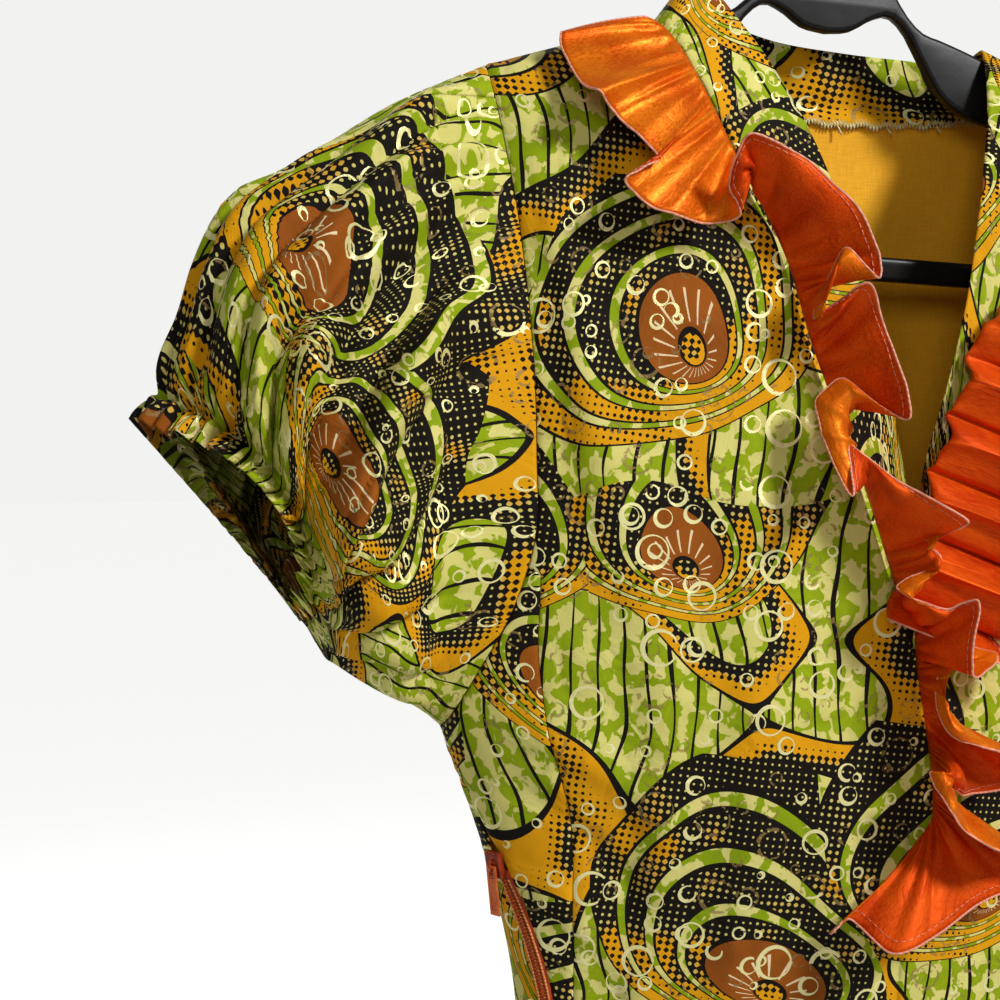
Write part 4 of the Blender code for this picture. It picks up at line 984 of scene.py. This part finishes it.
# ---------------------------------------------------------------- satin ruffles
# Strips of thin orange polyester satin, gathered into the seam of the neck band. The right one
# runs on as a cascade below the V. Their free edges are overlocked in salmon thread.
# Folds of its free edge, in order down the dress: the thousandth of the seam that the cloth comes
# from, then the place across and up, and how far it stands off the dress
RUFFLE_RIGHT = (
    (0, -128, -116, 6), (15, -131, -123, 10), (40, -124, -143, 14), (55, -119, -147, 24),
    (70, -112, -153, 14), (100, -96, -171, 16), (120, -112, -181, 27), (140, -99, -191, 18),
    (160, -80, -195, 12), (180, -65, -194, 16), (195, -71, -181, 24), (215, -66, -165, 36),
    (245, -40, -174, 31), (275, -21, -191, 27), (305, -14, -212, 30), (325, -16, -222, 38),
    (345, -27, -206, 24), (370, -36, -236, 12), (390, -20, -221, 33), (420, -11, -245, 32),
    (455, -6, -279, 38), (475, -26, -258, 20), (495, -37, -268, 14), (515, -35, -285, 22),
    (535, -28, -308, 36), (550, -26, -284, 20), (585, -8, -300, 28), (625, 16, -317, 43),
    (645, 7, -324, 18), (660, 10, -333, 30), (690, -8, -343, 22), (715, 10, -352, 30),
    (735, 20, -346, 44), (747, 17, -378, 40), (757, 40, -372, 22), (767, 22, -368, 14),
    (778, 14, -383, 18), (790, 13, -402, 26), (805, 37, -411, 34), (815, 60, -416, 26),
    (825, 56, -432, 12), (838, 32, -433, 14), (850, 22, -427, 18), (862, 8, -418, 26),
    (872, 13, -431, 30), (885, 22, -442, 34), (900, 37, -449, 38), (910, 62, -458, 30),
    (918, 64, -472, 18), (926, 42, -475, 22), (932, 16, -484, 28), (938, -6, -491, 27),
    (944, -18, -481, 14), (950, -27, -488, 12),
)
CASCADE = ((14, -380), (17, -395), (20, -412), (23, -430), (24, -450), (25, -470))
STRIP = 48              # the strip's cut width
LEAST_WIDTH, MOST_BOW = 40.0, 26.0
FINE = 12               # steps from one fold to the next
WAVES = 9               # folds of the left ruffle
LIE = 1.65              # the cloth's lie over the dress
BEHIND = (CENTRE_X, 60, -300)


def satin_cloth(name, dark, light, gloss):
    """Floating warp threads give a warm gloss broken into fine specks, which also lighten the
    colour as painted sheen, and light glows through.
    """
    material, node, surface = new_material(name)
    cloth_mm = node("Mapping", Vector=node("UVMap", uv_map="cut"), Scale=(1000,) * 3)
    sheen_specks = node("TexNoise", Vector=node("Mapping", Vector=cloth_mm, Scale=(1 / 0.9, 1 / 1.7, 1)),
                  Scale=1.0, Detail=2.0, noise_dimensions="2D")
    cloud = node("TexNoise", Vector=cloth_mm, Scale=1 / 24, Detail=2.0, noise_dimensions="2D")
    crush = node("TexNoise", Vector=cloth_mm, Scale=1 / 11, Detail=3.0, Distortion=0.8,
                 noise_dimensions="2D")
    # Painted sheen: the fine specks lighten the base colour, under a random cloud of tone
    tone = node("MULTIPLY_ADD", sheen_specks, 0.6, node("MULTIPLY", cloud, 0.7))
    tone = node("MapRange", Value=tone, From_Min=0.45, From_Max=0.85)
    height = node("MULTIPLY_ADD", sheen_specks, 0.05, node("MULTIPLY", crush, 0.7))
    feed(surface, Base_Color=node("MixRGB", tone, dark, light), Metallic=0.3,
         Roughness=node("MapRange", Value=sheen_specks, From_Min=0.3, From_Max=0.7, To_Min=gloss,
                        To_Max=gloss + 0.2),
         Specular_Tint="#FFB870", Subsurface_Weight=0.3, Subsurface_Scale=0.6,
         Subsurface_Radius=(0.006, 0.0015, 0.0005),
         Normal=node("Bump", Strength=0.8, Distance=MM, Height=height))
    return material


satin = satin_cloth("orange_polyester_satin", "#D44C02", "#F67C14", 0.32)
# The wrong side is more matt, and is painted darker and redder as painted shade for folds that lie
# in shade
satin_reverse_painted_shade = satin_cloth("orange_satin_wrong_side", "#BC2E02", "#E8540A", 0.44)
edge_thread = thread("salmon_overlock_thread", "#F2A184")


def base_line(band, tail, steps):
    """The seam that a ruffle is caught in, from the shoulder to the V, then along its tail."""
    read = read_rows(band, np.linspace(BAND_END, 0, 60))
    line = np.vstack([np.stack([read["seam_x"], read["seam_z"] - 2.5], axis=-1), *tail])
    return points_on(line, steps * arc_lengths(line)[-1]).T


def trim(name, grid):
    """The overlocked free edge of a ruffle, and the line of stitches that runs beside it."""
    edge = np.concatenate([grid[0, 3:-1], grid[:, -1], grid[-1, -2:3:-1]])
    piping("overlock_" + name, [edge], 0.5, edge_thread)
    line = (grid + normals_of(grid, BEHIND) * 0.2)[:, -3]
    dashes = [points_on(line, start + np.array([0, 1.2, 2.4]))
              for start in np.arange(4, arc_lengths(line)[-1] - 4, 3.4)]
    piping("hem_stitches_" + name, dashes, 0.16, edge_thread, sides=4)


def add_ruffle(word, grid, length, inside):
    """A ruffle's cloth and trim, from its grid and the length of its strip."""
    cut = cut_places(np.linspace(0, length, len(grid))[:, None], reach * STRIP)
    # The darker, redder satin, which is painted shade, takes one face and the plain satin the
    # other
    ruffle = cloth("satin_ruffle_" + word, [(grid, cut)], inside, satin_reverse_painted_shade,
                   thick=0.3, wrong_side=satin)
    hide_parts("ruffle_" + word)
    trim(word, grid)
    return ruffle


def averaged(line, weights):
    """A line of values, each averaged with its neighbours."""
    return np.convolve(np.pad(line, len(weights) // 2, mode="edge"), weights, mode="valid")


folds = np.array(RUFFLE_RIGHT) / (1000, 1, 1, 1)
steps = np.arange(len(folds))
count = steps[-1] * FINE + 1
fine = np.linspace(0, steps[-1], count)
along, x, z, stand = (
    averaged(0.7 * np.interp(fine, steps, column) + 0.3 * smooth({"fold": column}, "fold", fine),
             np.array([1, 2, 3, 4, 3, 2, 1]) / 16) for column in folds.T)
stand = np.maximum(stand + 2.2 * np.sin(fine * 2.9 + 1.3 * np.sin(fine * 0.7)), 4)
base_x, base_z = base_line(BAND_RIGHT, CASCADE, np.clip(along, 0, 1))
base = front_point(base_x, base_z, LIE)[:, None]
foot = front_point(base_x, base_z, LIE + 7)[:, None]
edge = front_point(x, np.minimum(z, shoulder_z(x) - 2), LIE + stand)[:, None]
# Where a fold's edge lies close to the seam, the cloth between them bows out
reach = np.linspace(0, 1, 26)
t = reach[:, None]
bow = np.zeros(count)
for _ in range(8):
    mid = foot * 0.55 + edge * 0.45 + (foot - base) / 7 * bow[:, None, None]
    grid = base * (1 - t) ** 2 + 2 * t * (1 - t) * mid + edge * t * t
    short = LEAST_WIDTH - arc_lengths(grid)[:, -1]
    bow = np.clip(bow + 0.6 * averaged(short, np.ones(9) / 9), 0, MOST_BOW)
beat = np.arange(count)
gather = (1 - 2 * np.abs(np.sin(beat * 0.36 + 0.9 * np.sin(beat * 0.11))) ** 0.8
          + 0.6 * np.sin(beat * 0.17 + 1))
fade = np.sin(np.clip(reach * 5, 0, 1) * math.pi / 2) * np.exp(-reach * 1.5)
grid += normals_of(grid, BEHIND) * (1.9 * gather[:, None] * fade)[..., None]
add_ruffle("right", grid, 1170, None)

count = WAVES * 30 + 1
s = np.linspace(0, 1, count)
base_x, base_z = base_line(BAND_LEFT, (), s)
phase = s * WAVES * math.tau + 0.7 * np.sin(s * 9)
wave, shift = np.sin(phase + 0.45 * np.sin(phase)), 4.5 * np.sin(2 * phase)
reach = np.linspace(0, 1, 24)
columns = []
for t in reach:
    fold_in = 29 * ease((s - 0.36) / 0.14) * math.sin(math.pi * min(1.0, t / 0.55))
    out = t * (38 + 5 * wave) - fold_in
    x = base_x + out * 0.93
    z = np.minimum(base_z - out * 0.36 - shift * t, shoulder_z(x) - 3 - 4 * t)
    ripple = 1.6 * np.sin(phase * 3.2) * math.exp(-t * 3) * min(1, t * 6)
    columns.append(front_point(
        x, z, LIE + t * (14 + 15 * wave) + 4 * math.sin(t * math.pi) + ripple))
grid = np.stack(columns, axis=1)
add_ruffle("left", grid, 740, BEHIND)


# ---------------------------------------------------------------- zip
# A nylon coil zip in the right side seam of the bodice, between folded edges. Its tape is sewn
# in with two rows of light thread. An enamelled slider closes it and carries a long pull tab.
ZIP_END, ZIP_TOP = -672, -470
COIL_PITCH, STITCH_PITCH = 1.5, 1.5
# Half of the tape, across from the seam and how deep it lies
TAPE_ACROSS = np.array([0.9, 1.3, 2.2, 3.2, 4.2, 5.6, 7.0, 8.5])
TAPE_UNDER = np.array([0.5, 0.3, 0.25, 0.6, 1.3, 2.0, 2.6, 3.1])
zip_nylon = plain_cotton("orange_nylon_zip_tape", "#C2440A", "#9C3006", 0.7, 2.2)
coil_nylon = thread("orange_nylon_coil", "#E26C16", 0.8)
light_thread = thread("light_orange_sewing_thread", "#FFA45C", 0.7)


def zip_point(z, across, stand):
    """Place over the right side seam, across mm towards the front and stand mm out of it."""
    angle = smooth(BODY, "seam_angle", z)
    return draped(-1, angle + seam_arc(angle, z, across), z, stand)


tape, coils, stitches = [], [], []
for edge in (-1, 1):
    grid = np.array([zip_point(z, edge * TAPE_ACROSS, -TAPE_UNDER)
                     for z in np.linspace(ZIP_END, ZIP_TOP, 150)])
    tape.append((grid, cut_places(arc_lengths(grid) + edge * 20, grid[..., 2])))
    z = np.arange(ZIP_END, ZIP_TOP - 2, COIL_PITCH / 6)
    turn = math.tau * z / COIL_PITCH + (math.pi if edge > 0 else 0)
    coils.append(zip_point(z, edge * (0.55 + 0.6 * np.cos(turn)), -0.1 + 0.5 * np.sin(turn)))
    stitches += [zip_point(z + np.array([0, 0.3, 0.8, 1.1]), edge * 2.5,
                           np.array([-0.2, 0.1, 0.1, -0.2]))
                 for z in np.arange(ZIP_END + 2, ZIP_TOP - 4, STITCH_PITCH)]
tape = cloth("zip_tape_pair", tape, (CENTRE_X, 0, -570), zip_nylon, thick=0.5)
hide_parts("zip_tape")
piping("zip_coil", coils, 0.3, coil_nylon, sides=4)
piping("zip_tape_stitches", stitches, 0.52, light_thread, sides=4)


def enamel(name, light, dark):
    """Zinc casting under a coat of enamel, worn thin to metal along a few scratches."""
    material, node, surface = new_material(name)
    where = node("TexCoord").outputs["Object"]
    blotch = node("TexNoise", Vector=where, Scale=260.0, Detail=5.0)
    scratch = node("Mapping", Vector=where, Rotation=(0.3, 0.5, 0.2), Scale=(300, 300, 2600))
    scratch = node("TexNoise", Vector=scratch, Scale=1.0, Detail=2.0)
    tone = node("MapRange", Value=blotch, From_Min=0.35, From_Max=0.65)
    worn = node("MapRange", Value=scratch, From_Min=0.68, From_Max=0.74)
    feed(surface, Base_Color=node("MixRGB", worn, node("MixRGB", tone, dark, light), "#D9A98A"),
         Metallic=0.4, Coat_Weight=0.35,
         Roughness=node("MapRange", Value=blotch, To_Min=0.25, To_Max=0.42),
         Normal=node("Bump", Strength=0.4, Distance=0.1 * MM, Height=blotch))
    return material


for made, finish in (("zip_slider", enamel("red_brown_enamel", "#A8380C", "#7C2406")),
                     ("zip_pull", enamel("orange_enamel", "#EE7E38", "#D2571A"))):
    for slot in bpy.data.objects[made].material_slots:
        slot.material = finish


# ---------------------------------------------------------------- hanger
# An injection-moulded black plastic hanger: flat arms from a rounded plate, a level bar for
# trousers between them and a round hook on top. It tips a little to one side.
HANGER_ROLL = 3.0
# Heights of the arm's two edges, where "at" is the distance from the hook
ARM = {
    "at": (0, 12, 22, 30, 38, 46, 56, 68, 88, 118, 146, 156),
    "upper": (-58, -60, -68, -79, -90, -97, -100, -103.6, -110.8, -121.6, -131.6, -139),
    "lower": (-102, -100, -94, -92, -98, -110, -124, -132, -137, -142, -147, -146),
}
# Where the arm turns down to the bar, outside and inside
OUTER_END = ((158, -160), (157, -172), (154, -186), (149.5, -196), (143, -205), (130, -210.5))
INNER_END = ((148, -160), (147, -170), (145, -180), (141, -188), (136, -194), (124, -199.5))
PLATE, ROUNDING = 1.2, 2.3      # half thickness of the flat, and radius of the rounded edge
HOOK_RADIUS, HOOK_ROD, HOOK_Z = 25.4, 3.4, -22
HOOK_STEM = [(0, -64), (0, -56), (6, -50), (14, -44), (21, -36)]


def black_polypropylene():
    """Moulded polypropylene: near black, with the fine grain and flow lines of its mould."""
    material, node, surface = new_material("moulded_black_polypropylene")
    where = node("TexCoord").outputs["Object"]
    grain = node("TexNoise", Vector=where, Scale=1500.0, Detail=2.0)
    flow = node("TexNoise", Vector=where, Scale=60.0, Detail=3.0, Distortion=1.2)
    feed(surface, Base_Color=node("MixRGB", flow, "#0A0A0A", "#161514"),
         Roughness=node("MapRange", Value=flow, To_Min=0.28, To_Max=0.5), IOR=1.49,
         Specular_IOR_Level=0.3,
         Normal=node("Bump", Strength=0.25, Distance=0.1 * MM, Height=grain))
    return material


def outline(row, end):
    """One edge of both arms, closed along the bar."""
    x = np.concatenate([-np.linspace(156, 4, 40), [0], np.linspace(4, 156, 40)])
    edge = [(px, pz) for px, pz in zip(x, smooth(ARM, row, np.abs(x)))
            if abs(px) < end[0][0] - 1]
    return edge + list(end) + [(-px, pz) for px, pz in reversed(end)]


def add_spline(curve, points, closed=False):
    spline = curve.splines.new("POLY")
    spline.points.add(len(points) - 1)
    spline.use_cyclic_u = closed
    for point, (x, y, z) in zip(spline.points, points):
        point.co = (x * MM, y * MM, z * MM, 1)


plate = bpy.data.curves.new("hanger_outline", "CURVE")
plate.dimensions, plate.fill_mode = "2D", "BOTH"
plate.extrude, plate.bevel_depth = PLATE * MM, ROUNDING * MM
plate.offset, plate.bevel_resolution = -ROUNDING * MM, 4
for row, end in (("upper", OUTER_END), ("lower", INNER_END)):
    add_spline(plate, [(x, z, 0) for x, z in outline(row, end)], closed=True)
hook = bpy.data.curves.new("hanger_hook", "CURVE")
hook.dimensions, hook.bevel_depth, hook.bevel_resolution = "3D", HOOK_ROD * MM, 5
hook.use_fill_caps = True
add_spline(hook, [(x, 0, z) for x, z in HOOK_STEM + [
    (HOOK_RADIUS * math.cos(a), HOOK_Z + HOOK_RADIUS * math.sin(a))
    for a in np.radians(np.arange(-12, 205, 6))]])
tip = Matrix.Rotation(math.radians(HANGER_ROLL), 4, "Y")
plastic = black_polypropylene()
for curve, turned in ((plate, tip @ Matrix.Rotation(math.pi / 2, 4, "X")), (hook, tip)):
    piece = add_piece(curve.name, curve)
    piece.matrix_world = turned
    bpy.ops.object.convert(target="MESH")
    bpy.ops.object.transform_apply(location=True, rotation=True, scale=True)
    weld(piece.data, 1e-5, turn_out=True)
    bpy.ops.object.shade_smooth_by_angle(angle=math.radians(40))
    piece.data.materials.clear()
    piece.data.materials.append(plastic)
    on_dress(piece)
    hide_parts("hanger")
